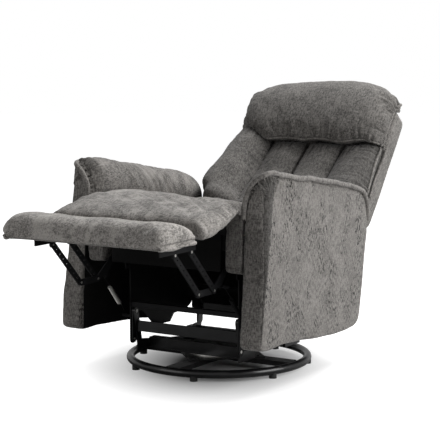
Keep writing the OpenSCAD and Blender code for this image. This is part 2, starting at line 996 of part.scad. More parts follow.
frame_top = mech_top + frame_h;

module seat_frame_rails() {
    color(timber)
        body_frame() {
            translate([-frame_half, -seat_front + band_t, mech_top])
                cube([2 * frame_half, frame_t, frame_h]);
            translate([-frame_half, frame_rear - frame_t, mech_top])
                cube([2 * frame_half, frame_t, frame_h]);
            both_sides()
                translate([mech_x - frame_t / 2, -seat_front + band_t + frame_t + fit, mech_top])
                    cube([
                        frame_half - mech_x + frame_t / 2,
                        frame_rear + seat_front - band_t - 2 * frame_t - 2 * fit,
                        frame_h,
                    ]);
        }
}

// Flat wire springs from the front rail to the rear rail, under the cushion
module seat_springs() {
    pitch = 2 * (mech_x - frame_t) / spring_n;
    y0 = -seat_front + band_t + frame_t + zigzag_r;
    y1 = frame_rear - frame_t - zigzag_r;
    z = frame_top - 4 * zigzag_r;
    turns = 12;
    half = pitch / 4;
    step = (y1 - y0) / turns;
    lean = atan(2 * half / step);
    color(zinc)
        body_frame()
            for (i = [0 : spring_n - 1])
                translate([(i + 0.5 - spring_n / 2) * pitch, 0, z])
                    for (k = [0 : turns - 1])
                        translate([0, y0 + step * (k + 0.5), 0])
                            rotate([90, 0, k % 2 == 0 ? lean : -lean])
                                cylinder(r = zigzag_r, h = step / cos(lean) + zigzag_r, center = true, $fn = 16);
}

// Half section of a cushion: across as a share of the half width, up as a share of the height
cushion_shares = [
    [0, 1], [0.3, 0.97], [0.55, 0.88], [0.75, 0.7], [0.88, 0.42], [0.955, 0.1],
];
rim_shares = [[1.0, 0.82], [1.0, 0.35], [0.985, 0.0]];

// A cushion's ring across the chair at y: half width, lower face, rim height and crown
function cushion_ring(y, half, low, rim, crown) =
    let (
        right = concat(
            [for (s = cushion_shares) [s[0] * half, y, low + rim + crown * s[1]]],
            [for (s = rim_shares) [s[0] * half, y, low + rim * s[1]]]
        ),
        n = len(right)
    )
    concat(right, [for (i = [n - 1 : -1 : 1]) [-right[i][0], right[i][1], right[i][2]]]);

// A cushion through rings that run from front to rear
module cushion(rings) {
    skin(backwards(rings), mean_point(rings[len(rings) - 1]), mean_point(rings[0]));
}

seat_steps = 18;
cushion_low = frame_top + fit;
// Shares of the seat's length where its sides and ends are drawn in
function end_in(t, sharp) = pow(bulge(2 * t - 1, sharp), 0.5);

module seat_cushion() {
    length = seat_rear + seat_front;
    color(fabric)
        body_frame()
            cushion([
                for (i = [0 : seat_steps])
                    let (
                        t = 0.5 - 0.5 * cos(180 * i / seat_steps),
                        y = -seat_front + t * length,
                        e = end_in(t, 10),
                        rear_e = t > 0.5 ? e : 1
                    )
                    cushion_ring(y, seat_half - draw_in + draw_in * e, cushion_low,
                        cushion_h * (0.72 + 0.28 * rear_e) + seat_front_rise * (1 - ease(t * 2.2)),
                        seat_crown * (0.6 + 0.4 * rear_e))
            ]);
}

module front_cloth_band() {
    color(black_cloth)
        body_frame()
            translate([-band_half, -seat_front, band_low])
                cube([2 * band_half, band_t - fit, cushion_low - fit - band_low]);
}

// A covered block under each front corner of the seat, rounded at its lower corners
module corner_block() {
    y0 = -seat_front - block_reach;
    y1 = -seat_front + band_t - fit;
    y2 = y0 + block_d;
    difference() {
        union() {
            translate([block_x, y0, block_low + block_round])
                cube([block_w, y1 - y0, frame_top - block_low - block_round]);
            translate([block_x, y0 + block_round, block_low])
                cube([block_w, block_d - 2 * block_round, mech_top - fit - block_low]);
            translate([block_x, y0, block_low + block_round])
                cube([block_w, block_d, mech_top - fit - block_low - block_round]);
            for (y = [y0 + block_round, y2 - block_round])
                cross_bar([y, block_low + block_round], block_round, block_x, block_x + block_w);
        }
    }
}

module corner_blocks() {
    color(fabric_dark)
        body_frame()
            both_sides()
                corner_block();
}

// The panel that closes the rear under the back, between the arms
module rear_panel() {
    y0 = max(hinge_y + hinge_lug_r + fit, arm_d - arm_front - panel_inset);
    high = mech_low - arm_low - board_t;
    color(black_cloth)
        body_frame()
            translate([-arm_in, y0, arm_low + board_t])
                cube([2 * arm_in, board_t, high]);
}

// The calf pad bridges the seat front and the footrest, which lies level in the world
calf_steps = 16;
calf_end_rise = board_t / 2;
calf_end_drop = calf_h / 7;
calf_puff = calf_h * 0.18;
foot_rear_p = [-foot_front + foot_d, tilt_z + foot_low];
calf_start_y = level_y(foot_rear_p) + fit;
calf_end_y = -seat_front - fit;
calf_start_low = level_z(foot_rear_p) + board_t / 2;
calf_end_low = cushion_low + cushion_h;
function calf_low(t) = (1 - t) * calf_start_low + t * calf_end_low - board_t * bulge(2 * t - 1, 2);

module calf_pad() {
    length = calf_end_y - calf_start_y;
    start_top = calf_start_low + calf_h;
    end_top = cushion_low + cushion_h + seat_front_rise;
    color(fabric)
        body_frame()
            cushion([
                for (i = [0 : calf_steps])
                    let (
                        t = 0.5 - 0.5 * cos(180 * i / calf_steps),
                        y = calf_start_y + t * length,
                        e = end_in(t, 8),
                        low = calf_low(t) + calf_end_rise * (1 - e),
                        flat_top = (1 - t) * start_top + t * end_top,
                        top = flat_top + calf_puff * bulge(2 * t - 1, 2) - calf_end_drop * (1 - e)
                    )
                    cushion_ring(y, calf_half - draw_in + draw_in * e, low, max(board_t, top - low), calf_crown)
            ]);
}

// Footrest, drawn with its board level in the world

module footrest_board() {
    color(timber)
        translate([-foot_w / 2 + board_margin, -foot_front + board_margin, tilt_z + foot_low])
            cube([foot_w - 2 * board_margin, foot_d - 2 * board_margin, board_t]);
}

foot_steps = 14;
foot_end_rise = board_t / 2;
foot_end_thin = bolster_h * 0.27;
module footrest_pad() {
    color(fabric)
        difference() {
            cushion([
                for (i = [0 : foot_steps])
                    let (
                        t = 0.5 - 0.5 * cos(180 * i / foot_steps),
                        y = -foot_front + t * foot_d,
                        e = end_in(t, 5)
                    )
                    cushion_ring(y, foot_w / 2 - draw_in + draw_in * e, tilt_z + foot_low + foot_end_rise * (1 - e),
                        bolster_h - foot_end_thin * (1 - e), bolster_crown * (0.35 + 0.65 * e))
            ]);
            translate([-foot_w / 2 + board_margin - fit, -foot_front + board_margin - fit, tilt_z + foot_low - over])
                cube([foot_w - 2 * board_margin + 2 * fit, foot_d - 2 * board_margin + 2 * fit, board_t + over + fit]);
        }
}

// A perforated angle under the board on each side, with the web that carries the two rivets
perforation_n = 7;
module footrest_bracket() {
    board_low = tilt_z + foot_low;
    flange_w = board_margin;
    y0 = world_y(front_b) - 4 * bar_w;
    y1 = world_y(rear_b) + bar_w;
    web_low = board_low - 1.5 * bar_w;
    step = (world_y(rear_b) - world_y(front_b)) / (perforation_n - 2);
    difference() {
        union() {
            translate([web_x, y0, web_low])
                cube([bar_t, y1 - y0, board_low - web_low]);
            translate([web_x, y0, board_low - bar_t])
                cube([flange_w, y1 - y0, bar_t]);
            for (p = [front_b, rear_b])
                side_plate([
                    [world_y(p) - bar_w / 2, world_z(p)], [world_y(p) + bar_w / 2, world_z(p)],
                    [world_y(p) + bar_w / 2, board_low], [world_y(p) - bar_w / 2, board_low],
                ], web_x, bar_t);
            for (p = [front_b, rear_b])
                cross_bar([world_y(p), world_z(p)], bar_w / 2, web_x, web_x + bar_t);
        }
        for (i = [-2 : perforation_n - 3])
            bore([world_y(front_b) + (i + 0.5) * step, board_low - bar_w / 2 - bar_t], rivet_r, web_x, bar_t);
        bore([world_y(front_b), world_z(front_b)], rivet_r, web_x, bar_t);
        bore([world_y(rear_b), world_z(rear_b)], rivet_r, web_x, bar_t);
    }
}

module footrest_brackets() {
    color(steel_black)
        both_sides()
            footrest_bracket();
}

// Linkage of the footrest

// A crank plate with its pivot, its two link holes and the spring's pin
module crank() {
    spring_p = [-spring_pin_y, spring_pin_z];
    difference() {
        union() {
            flat_bar(crank_p, rear_c, bar_w, crank_x, bar_t);
            flat_bar(rear_c, front_c, bar_w, crank_x, bar_t);
            side_plate([crank_p, rear_c, spring_p], crank_x, bar_t);
            cross_bar(spring_p, bar_w / 2 - rivet_r / 2, crank_x, crank_x + bar_t);
            difference() {
                cross_bar(spring_p, rivet_r, crank_x + bar_t / 2, spring_x + curl_r + wire_r);
                cross_bar(spring_p, wire_r, spring_x + curl_r, spring_x + curl_r + 2 * wire_r);
            }
        }
        bore(crank_p, rivet_r + run, crank_x, bar_t);
        bore(front_c, rivet_r, crank_x, bar_t);
        bore(rear_c, rivet_r, crank_x, bar_t);
    }
}

module cranks() {
    color(steel_black)
        body_frame()
            both_sides()
                crank();
}

// A rivet fixed in the plate that starts at x, its running end in the bar beside it
module rivet(p, x) {
    cross_bar(p, rivet_r, x, x + 2 * bar_t + bar_gap + bar_gap / 2);
}

// Rivets of the crank pivot, fixed in the mechanism plate
module crank_rivets() {
    color(zinc)
        body_frame()
            both_sides()
                union() {
                    rivet(crank_p, mech_x);
                    cross_bar(crank_p, rivet_r - fit, mech_x - rivet_head_h / 2, mech_x + over);
                }
}

// A link between two rivets, perforated along its length as the bracket is
link_hole_n = 7;
module link(a, b) {
    difference() {
        flat_bar(a, b, bar_w, bar_x, bar_t);
        for (i = [1 : link_hole_n])
            bore(a + (b - a) * i / (link_hole_n + 1), rivet_r * 0.75, bar_x, bar_t);
        bore(a, rivet_r + run, bar_x, bar_t);
        bore(b, rivet_r + run, bar_x, bar_t);
    }
}

module front_links() {
    color(steel_black)
        body_frame()
            both_sides()
                link(front_c, front_b);
}

module rear_links() {
    color(steel_black)
        body_frame()
            both_sides()
                link(rear_c, rear_b);
}

// Rivets that the crank carries
module front_link_rivets() {
    color(zinc)
        body_frame()
            both_sides() {
                rivet(front_c, crank_x);
                rivet(rear_c, crank_x);
            }
}

// Rivets that the footrest brackets carry
module rear_link_rivets() {
    color(zinc)
        body_frame()
            both_sides()
                for (p = [front_b, rear_b])
                    cross_bar(p, rivet_r, bar_x - bar_gap / 2, web_x + bar_t);
}

// The footrest spring: one unbroken wire from pin to pin, straight at both ends

wire_sides = 6;
rings_a_curl = 8;

module footrest_spring() {
    a = [-spring_pin_y, spring_pin_z];
    b = [-spring_end_y, spring_end_z];
    span = norm(b - a) - 2 * (rivet_r + fit);
    coil = span * curl_share;
    lead = (span - coil) / 2;
    count = curl_n * rings_a_curl;
    lean = atan(coil / curl_n / (2 * PI * curl_r));
    // the wire's middle line along the spring's own axis
    route = concat(
        [[curl_r, 0, 0], [curl_r, 0, lead - 2 * wire_r]],
        [
            for (i = [0 : count])
                let (q = 360 * i / rings_a_curl)
                [curl_r * cos(q), curl_r * sin(q), lead + coil * i / count]
        ],
        [[curl_r, 0, lead + coil + 2 * wire_r], [curl_r, 0, span]]
    );
    last = len(route) - 1;
    rings = [
        for (i = [0 : last])
            let (
                on_coil = i > 1 && i < last - 1,
                q = on_coil ? 360 * (i - 2) / rings_a_curl : 0,
                k = on_coil ? 1 : 0,
                out = [cos(q), sin(q), 0],
                side = [-sin(q) * (1 - k) - sin(q) * k * sin(lean), cos(q) * (1 - k) + cos(q) * k * sin(lean),
                    -k * cos(lean)]
            )
            [
                for (j = [0 : wire_sides - 1])
                    route[i] + wire_r * (cos(60 * j) * out + sin(60 * j) * side)
            ]
    ];
    gap = coil / curl_n - 2 * wire_r;
    echo(least_gap_between_curls = gap);
    dir = (b - a) / norm(b - a);
    tip = rivet_r + fit;
    translate([spring_x, a[0] + dir[0] * tip, a[1] + dir[1] * tip])
        rotate([atan2(-dir[0], dir[1]), 0, 0])
            translate([-curl_r, 0, 0])
                skin(backwards(rings), route[last], route[0]);
}

module footrest_springs() {
    color(zinc)
        body_frame()
            both_sides()
                footrest_spring();
}

// Release

module release_housing() {
    x0 = arm_out - release_d;
    color(plastic)
        body_frame()
            mirror([1, 0, 0])
                difference() {
                    union() {
                        translate([x0, release_y - release_w / 2, release_z - release_h / 2])
                            cube([release_d, release_w, release_h]);
                        translate([arm_out, release_y - release_w / 2 - bezel_w, release_z - release_h / 2 - bezel_w])
                            cube([bezel_t, release_w + 2 * bezel_w, release_h + 2 * bezel_w]);
                    }
                    translate([x0 + release_wall, release_y - release_w / 2 + release_wall,
                        release_z - release_h / 2 + release_wall])
                        cube([release_d + bezel_t, release_w - 2 * release_wall, release_h - 2 * release_wall]);
                    cross_bar([release_y, release_z], cable_r, x0 - over, x0 + release_wall + over);
                }
}

// The cable's sleeve runs from the housing through the arm to the mechanism plate
module release_cable() {
    color(plastic)
        body_frame()
            mirror([1, 0, 0])
                cross_bar([release_y, release_z], cable_r, mech_x + bar_t, arm_out - release_d + release_wall);
}

// The pull handle turns about its upper edge in the housing
pull_h = release_h - 2 * release_wall - 2 * over;
pull_w = release_w - 2 * release_wall - 2 * over;
pull_top = release_z + release_h / 2 - release_wall - over - pull_t / 2;
pull_x = arm_out - pull_t;

module release_handle() {
    barrel_r = pull_t / 2;
    color(plastic)
        body_frame()
            mirror([1, 0, 0])
                union() {
                    translate([pull_x - barrel_r, release_y - pull_w / 2, pull_top - pull_h + barrel_r])
                        cube([pull_t, pull_w, pull_h - barrel_r]);
                    translate([pull_x, release_y - pull_w / 2, pull_top])
                        rotate([-90, 0, 0])
                            cylinder(r = barrel_r, h = pull_w, $fn = 24);
                }
}

// Back, in its own plane: u runs up the back, v forward from the rear face

module back_frame() {
    translate([0, back_y, back_z])
        rotate([-back_angle, 0, 0])
            mirror([0, 1, 0])
                children();
}

// Half width of the back at a place along it
function back_wide(u) = back_half + (wing_half - back_half) * ease((u - widen_low) / (widen_high - widen_low));
widen_steps = 6;

// Outline of the back with its corners rounded, drawn in by a wall
function back_outline(wall) =
    let (
        right = concat(
            [[back_half - wall, -back_down + wall], [back_half - wall, widen_low]],
            [
                for (i = [1 : widen_steps])
                    let (u = widen_low + (widen_high - widen_low) * i / widen_steps)
                    [back_wide(u) - wall, u]
            ],
            [
                for (i = [0 : 6])
                    let (q = 90 * i / 6, r = 3 * shell_wall)
                    [wing_half - wall - r + r * cos(q), back_up - wall - r + r * sin(q)]
            ]
        ),
        n = len(right)
    )
    concat(right, [for (i = [n - 1 : -1 : 0]) [-right[i][0], right[i][1]]]);

// A flat shape in the back's plane, from v to v + t
module back_plate(points, v, t) {
    translate([0, v + t, 0])
        rotate([90, 0, 0])
            linear_extrude(t)
                polygon(points);
}

module back_shell() {
    color(fabric)
        body_frame()
            back_frame()
                difference() {
                    back_plate(back_outline(0), 0, shell_d);
                    back_plate(back_outline(shell_wall), shell_wall, shell_d);
                    // room for the hinge brackets in the lower edge
                    both_sides()
                        translate([mech_x + bar_t, shell_wall, -back_down - over])
                            cube([bar_t + 2 * over, shell_d, shell_wall + 2 * over]);
                }
}

stile_x = mech_x + 2 * bar_t + bar_gap;
timber_v = shell_wall + fit;
timber_low = -back_down + shell_wall + fit;
timber_top = back_up - shell_wall - fit;

module back_stiles() {
    color(timber)
        body_frame()
            back_frame()
                both_sides()
                    translate([stile_x, timber_v, timber_low])
                        cube([stile_t, stile_d, timber_top - timber_low - shell_wall]);
}

// Three rails between the stiles, as places along the back
module back_rails() {
    rail_places = [timber_low, (timber_low + timber_top) / 2, timber_top - shell_wall - 2 * stile_t];
    color(timber)
        body_frame()
            back_frame()
                for (u = rail_places)
                    translate([-stile_x + (u < 0 ? bar_t + bar_gap : 0), timber_v, u])
                        cube([2 * stile_x - (u < 0 ? 2 * (bar_t + bar_gap) : 0), stile_d, 2 * stile_t]);
}

webbing_n = 5;
webbing_t = 2;
webbing_w = 50;
module back_webbing() {
    u0 = -back_down / 3 + fit;
    u1 = pillow_low + webbing_w;
    step = (u1 - u0) / webbing_n;
    color(black_cloth)
        body_frame()
            back_frame()
                for (i = [0 : webbing_n - 1])
                    translate([-stile_x - stile_t, timber_v + stile_d + fit, u0 + i * step])
                        cube([2 * (stile_x + stile_t), webbing_t, webbing_w]);
}

// The back cushion's seams: place as a share of back_up, depth as a share of shell_d
seam_shares = [
    [-0.32, 1.5], [-0.26, 2.2], [-0.19, 2.3], [-0.1, 1.8], [0.24, 0.84], [0.58, 0.36], [0.64, 0.25],
];
function seam_depth(u) = lookup(u / back_up, seam_shares) * shell_d;

cushion_v = shell_d + fit;
channel_n = 4;
channel_points = 6;
back_steps = 18;
back_cushion_low = -back_down + shell_d / 2;
back_cushion_top = pillow_low - fit;

// Channel crest as a share, for a place across from -1 to 1
function channel(s) = pow(abs(sin(180 * channel_n / 2 * (s + 1))), 0.6);

function back_ring(u, t) =
    let (
        e = end_in(t, 8),
        half = (back_wide(u) - fit) - draw_in * (1 - e) - fit,
        seam = seam_depth(u),
        count = channel_n * channel_points
    )
    concat(
        [
            for (i = [0 : count])
                let (s = -1 + 2 * i / count, edge = bulge(s, 14))
                [s * half, cushion_v + max(wire_r, (seam * (0.55 + 0.45 * edge) + channel_rise * channel(s)) * (0.45 + 0.55 * e)), u]
        ],
        [
            [half, cushion_v + fit, u], [half * 0.96, cushion_v, u], [half * 0.3, cushion_v, u],
            [-half * 0.3, cushion_v, u], [-half * 0.96, cushion_v, u], [-half, cushion_v + fit, u],
        ]
    );

module back_cushion() {
    rings = [
        for (i = [0 : back_steps])
            let (t = 0.5 - 0.5 * cos(180 * i / back_steps))
            back_ring(back_cushion_low + t * (back_cushion_top - back_cushion_low), t)
    ];
    n = len(rings);
    color(fabric)
        body_frame()
            back_frame()
                skin(rings, mean_point(rings[0]), mean_point(rings[n - 1]));
}

// The head pillow hangs in front of the box and rolls over its upper edge.
// Shares of pillow_d forward of the box and of pillow_h above the pillow's lower edge, up and over.
pillow_front_shares = [
    [0.12, 0.0], [0.45, 0.02], [0.72, 0.09], [0.9, 0.22], [1.0, 0.4], [0.99, 0.58], [0.88, 0.76],
    [0.68, 0.9], [0.42, 0.98],
];
// Shares of shell_d back from the box's front and of the rise above the box, over and down
pillow_rear_shares = [[-0.1, 1.0], [0.2, 0.88], [0.42, 0.64], [0.56, 0.32], [0.6, 0.06]];
pillow_steps = 16;

function pillow_ring(s) =
    let (
        e = pow(bulge(s, 6), 0.5),
        arch = bulge(s, 2.5),
        top = pillow_low + pillow_h * (0.81 + 0.19 * (0.3 * e + 0.7 * arch)),
        low = pillow_low + pillow_h * 0.12 * (1 - e),
        high = top - low,
        rise = top - back_up - fit,
        depth = pillow_d * (0.55 + 0.45 * e)
    )
    [
        for (p = pillow_front_shares)
            [s * (wing_half - fit), cushion_v + depth * p[0], low + high * p[1]],
        for (p = pillow_rear_shares)
            [s * (wing_half - fit), shell_d - shell_d * p[0] * (0.8 + 0.2 * e), back_up + fit + rise * p[1]],
        [s * (wing_half - fit), shell_d / 2, back_up + fit],
        [s * (wing_half - fit), cushion_v, back_up + fit],
        [s * (wing_half - fit), cushion_v, pillow_low + pillow_h * 0.4],
        [s * (wing_half - fit), cushion_v, low + pillow_h * 0.03],
    ];

module head_pillow() {
    rings = [for (i = [0 : pillow_steps]) pillow_ring(-cos(180 * i / pillow_steps))];
    tip = [wing_half - fit, cushion_v + pillow_d * 0.16, back_up + 3 * fit];
    color(fabric)
        body_frame()
            back_frame()
                skin(backwards(rings), tip, [-tip[0], tip[1], tip[2]]);
}

// Hinge brackets, drawn in the level body frame

// A place in the back's plane as a place in the level body frame
function back_place(u, v) = [
    back_y + u * sin(back_angle) - v * cos(back_angle),
    back_z + u * cos(back_angle) + v * sin(back_angle),
];

module back_hinge_bracket() {
    x = mech_x + bar_t + bar_gap;
    points = [
        back_place(-back_down / 3, timber_v),
        back_place(-back_down / 3, timber_v + stile_d),
        back_place(back_cushion_low - side_gap, shell_d),
        hinge_p + hinge_lug_r * [cos(back_angle), sin(back_angle)],
        hinge_p - hinge_lug_r * [0, 1],
        back_place(timber_low, timber_v + stile_d / 2),
    ];
    difference() {
        union() {
            side_plate(points, x, bar_t);
            cross_bar(hinge_p, hinge_lug_r, x, x + bar_t);
        }
        bore(hinge_p, hinge_r + run, x, bar_t);
    }
}

module back_hinge_brackets() {
    color(steel_black)
        body_frame()
            both_sides()
                back_hinge_bracket();
}

module recline_pins() {
    color(zinc)
        body_frame()
            both_sides() {
                cross_bar(hinge_p, hinge_r, mech_x, mech_x + 2 * bar_t + 2 * bar_gap);
                cross_bar(hinge_p, hinge_r + side_gap, mech_x - rivet_head_h, mech_x);
            }
}

base_ring();
star_base();
floor_glides();
lower_race();
bearing_balls();
ball_cage();
upper_race();
swivel_plate();
swivel_bolt();
front_lower_beam();
rear_lower_beam();
front_posts();
rear_posts();
front_spreader_bar();
rear_spreader_bar();
upper_glide_pins();
front_hanging_links();
rear_hanging_links();
lower_glide_pins();
hanging_plate_left();
hanging_plate_right();
mechanism_plate_left();
mechanism_plate_right();
front_cross_rail();
rear_cross_rail();
arm_brackets();
arm_frame_left();
arm_frame_right();
arm_cover_left();
arm_cover_right();
arm_pad_left();
arm_pad_right();
seat_frame_rails();
seat_springs();
seat_cushion();
front_cloth_band();
rear_panel();
corner_blocks();
calf_pad();
footrest_springs();
release_housing();
release_cable();
release_handle();
back_stiles();
back_rails();
back_webbing();
back_shell();
back_cushion();
head_pillow();
back_hinge_brackets();
recline_pins();
footrest_board();
footrest_pad();
footrest_brackets();
cranks();
crank_rivets();
front_links();
front_link_rivets();
rear_links();
rear_link_rivets();
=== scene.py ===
"""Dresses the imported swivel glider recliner: covers, cushions, seams, fixings, finishes and the studio round it."""

import math

import bpy
import numpy as np
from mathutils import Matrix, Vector
from mathutils.bvhtree import BVHTree

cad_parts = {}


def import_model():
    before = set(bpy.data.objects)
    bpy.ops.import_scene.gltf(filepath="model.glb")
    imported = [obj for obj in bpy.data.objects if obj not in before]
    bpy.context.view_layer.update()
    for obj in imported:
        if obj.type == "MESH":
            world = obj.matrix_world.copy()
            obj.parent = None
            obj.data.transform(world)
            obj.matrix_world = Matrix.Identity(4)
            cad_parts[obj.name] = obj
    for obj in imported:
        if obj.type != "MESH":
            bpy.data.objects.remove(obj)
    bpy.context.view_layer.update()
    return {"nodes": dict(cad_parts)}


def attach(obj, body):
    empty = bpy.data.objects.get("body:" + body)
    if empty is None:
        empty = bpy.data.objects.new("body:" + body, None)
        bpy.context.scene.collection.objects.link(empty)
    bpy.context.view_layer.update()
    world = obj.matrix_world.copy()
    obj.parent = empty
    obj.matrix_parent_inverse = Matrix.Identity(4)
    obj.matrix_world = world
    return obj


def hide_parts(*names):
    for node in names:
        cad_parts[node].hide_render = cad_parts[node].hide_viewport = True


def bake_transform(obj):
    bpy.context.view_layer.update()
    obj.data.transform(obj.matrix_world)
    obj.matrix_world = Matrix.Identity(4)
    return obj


bl_info = {
    "name": "Swivel Glider Recliner",
    "version": (1, 0, 0),
    "blender": (4, 5, 0),
    "location": "View3D > Sidebar > Recliner",
    "description": "Upholsters and finishes a swivel glider recliner on its packed frame",
    "category": "Object",
}

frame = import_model()

# The body is upholstered level and then leans back about the line y 0, z 200 mm.
TILT = math.radians(4)
TILT_Z = 200.0
# The back's plane: its reference point and its recline in the level body
BACK_Y, BACK_Z, RECLINE = 484.0, 452.0, math.radians(34)
# Arm: inner and outer face, front, length, lower edge and height
ARM_IN, ARM_OUT, ARM_FRONT, ARM_LONG, ARM_LOW, ARM_HIGH = 285.0, 356.0, 335.0, 667.0, 115.0, 513.0
# Front and rear end of the seat and calf pad
CHAISE_FRONT, CHAISE_REAR = -548.0, 208.0
# The back's box: its depth and its top; and half the head pillow's width
SHELL_DEEP, SHELL_TOP, PILLOW_HALF = 62.0, 420.3, 284.0
# The height of the footrest board's upper face
BOARD_TOP = 469.0
# The thickness of the thin cloths
CLOTH_THICK = 1.2

SIDES = (("right", 1), ("left", -1))
# Steps over which a cushion is blown up
CLOTH_STEPS = 20


# ---------------------------------------------------------------- places

def world(points):
    """Places in the level body, in millimetres, as places in the room, in metres."""
    p = np.asarray(points, float)
    y, z = p[..., 1], p[..., 2] - TILT_Z
    c, s = math.cos(TILT), math.sin(TILT)
    return np.stack([p[..., 0], y * c + z * s, TILT_Z - y * s + z * c], -1) / 1000


def level(points):
    """Places in the room, in metres, as places in the level body, in millimetres."""
    p = np.asarray(points, float) * 1000
    y, z = p[..., 1], p[..., 2] - TILT_Z
    c, s = math.cos(TILT), math.sin(TILT)
    return np.stack([p[..., 0], y * c - z * s, TILT_Z + y * s + z * c], -1)


def on_back(points):
    """Places across, up and forward of the back's rear face, as places in the level body."""
    p = np.asarray(points, float)
    x, u, v = p[..., 0], p[..., 1], p[..., 2]
    c, s = math.cos(RECLINE), math.sin(RECLINE)
    return np.stack([x, BACK_Y + u * s - v * c, BACK_Z + u * c + v * s], -1)


def room(points):
    """Places in millimetres in the room, as metres."""
    return np.asarray(points, float) / 1000


def ease(t):
    """0 up to 0, 1 from 1 on, and smooth in between."""
    t = np.clip(t, 0, 1)
    return t * t * (3 - 2 * t)


def bulge(t, sharp=4.0):
    """1 in the middle, where t is 0, and 0 at both ends, flatter in between the sharper it is."""
    return 1 - np.minimum(1, np.abs(t)) ** sharp


def waves(x, length, shift=0.0):
    """A sine wave of some length."""
    return np.sin(x * 2 * math.pi / length + shift)


def curve_through(points, count, closed=False):
    """Evenly spaced points on a smooth curve through the given ones."""
    p = np.asarray(points, float)
    n = len(p)
    spans = n if closed else n - 1
    t = np.linspace(0, spans, 24 * spans + 1)
    i = np.minimum(t.astype(int), spans - 1)
    f = (t - i)[:, None]

    def at(k):
        return p[k % n] if closed else p[np.clip(k, 0, n - 1)]

    a, b, c, d = at(i - 1), at(i), at(i + 1), at(i + 2)
    square, cube = 2 * a - 5 * b + 4 * c - d, 3 * b - a - 3 * c + d
    dense = 0.5 * (2 * b + (c - a) * f + square * f**2 + cube * f**3)
    walked = np.concatenate([[0], np.cumsum(np.linalg.norm(np.diff(dense, axis=0), axis=1))])
    stops = np.linspace(0, walked[-1], count + 1 if closed else count)
    out = np.stack([np.interp(stops, walked, dense[:, k]) for k in range(p.shape[1])], -1)
    return out[:-1] if closed else out


def ripple(p, wave, seed):
    """A smooth random swell between about -1 and 1, with crests about a wave apart."""
    count = 7
    rng = np.random.default_rng(seed)
    total = np.zeros(len(p))
    for _ in range(count):
        d = rng.normal(size=3)
        d /= np.linalg.norm(d)
        total += np.sin(p @ d * (2 * math.pi / (wave * rng.uniform(0.7, 1.5))) + rng.uniform(0, 2 * math.pi))
    return total / math.sqrt(count) * 0.8


# ---------------------------------------------------------------- meshes

def rows(items, name, width=3, kind=float):
    """A property of all items of a mesh, one row to an item."""
    out = np.empty(len(items) * width, kind)
    items.foreach_get(name, out)
    return out.reshape(-1, width)


def points_of(mesh):
    return rows(mesh.vertices, "co")


def move_points(mesh, points):
    mesh.vertices.foreach_set("co", np.ascontiguousarray(points, float).ravel())
    mesh.update()


def new_object(name, mesh):
    obj = bpy.data.objects.new(name, mesh)
    bpy.context.scene.collection.objects.link(obj)
    return obj


def mesh_piece(name, points, faces, smooth=True):
    mesh = bpy.data.meshes.new(name)
    mesh.from_pydata([tuple(p) for p in np.asarray(points, float)], [], [tuple(f) for f in faces])
    mesh.validate()
    if smooth:
        mesh.shade_smooth()
    return new_object(name, mesh)


def skin(rings):
    """Points and faces of a closed skin through rings of equal count, closed by a fan at each end."""
    rings = np.asarray(rings, float)
    m, n = rings.shape[:2]
    i, j = np.meshgrid(np.arange(m - 1), np.arange(n), indexing="ij")
    a, b = i * n + j, i * n + (j + 1) % n
    faces = np.stack([a, b, b + n, a + n], -1).reshape(-1, 4).tolist()
    tips = [m * n, m * n + 1]
    k = np.arange(n)
    faces += np.stack([np.full(n, tips[0]), (k + 1) % n, k], -1).tolist()
    last = (m - 1) * n
    faces += np.stack([np.full(n, tips[1]), last + k, last + (k + 1) % n], -1).tolist()
    points = np.concatenate([rings.reshape(-1, 3), [rings[0].mean(0)], [rings[-1].mean(0)]])
    return points, faces


def solid(name, rings, smooth=True):
    """A closed mesh object through rings, its faces turned outward."""
    obj = mesh_piece(name, *skin(rings), smooth=smooth)
    mesh = obj.data
    mesh.calc_loop_triangles()
    p = points_of(mesh)[rows(mesh.loop_triangles, "vertices", 3, int)]
    if np.einsum("ij,ij->i", p[:, 0], np.cross(p[:, 1], p[:, 2])).sum() < 0:
        mesh.flip_normals()
    return obj


def relax(mesh, rounds):
    """Evens a mesh out by moving each point half way to the middle of its neighbours."""
    a, b = rows(mesh.edges, "vertices", 2, int).T
    p = points_of(mesh)
    n = len(p)
    degree = np.maximum(np.bincount(a, minlength=n) + np.bincount(b, minlength=n), 1)
    for _ in range(rounds):
        total = [np.bincount(a, p[b, k], minlength=n) + np.bincount(b, p[a, k], minlength=n) for k in range(3)]
        p += 0.5 * (np.stack(total, -1) / degree[:, None] - p)
    move_points(mesh, p)


def made_of(obj):
    """A new mesh of what an object's modifiers make of it."""
    graph = bpy.context.evaluated_depsgraph_get()
    return bpy.data.meshes.new_from_object(obj.evaluated_get(graph), depsgraph=graph)


def settle(obj):
    """Replaces an object's mesh by what its modifiers make of it."""
    old, obj.data = obj.data, made_of(obj)
    obj.modifiers.clear()
    bpy.data.meshes.remove(old)


def remesh(obj, voxel):
    """Makes an object's mesh anew from even squares of a size."""
    mod = obj.modifiers.new("Even", "REMESH")
    mod.mode = "VOXEL"
    mod.voxel_size = voxel
    settle(obj)


def subdivide(obj):
    mod = obj.modifiers.new("Fine", "SUBSURF")
    mod.levels = mod.render_levels = 1
    settle(obj)
    obj.data.shade_smooth()


def rounded(name, rings, voxel, rounds):
    """A closed skin through rings in metres, its mesh made even and then fine, with its corners worn down."""
    obj = solid(name, rings)
    remesh(obj, voxel)
    relax(obj.data, rounds)
    subdivide(obj)
    return obj


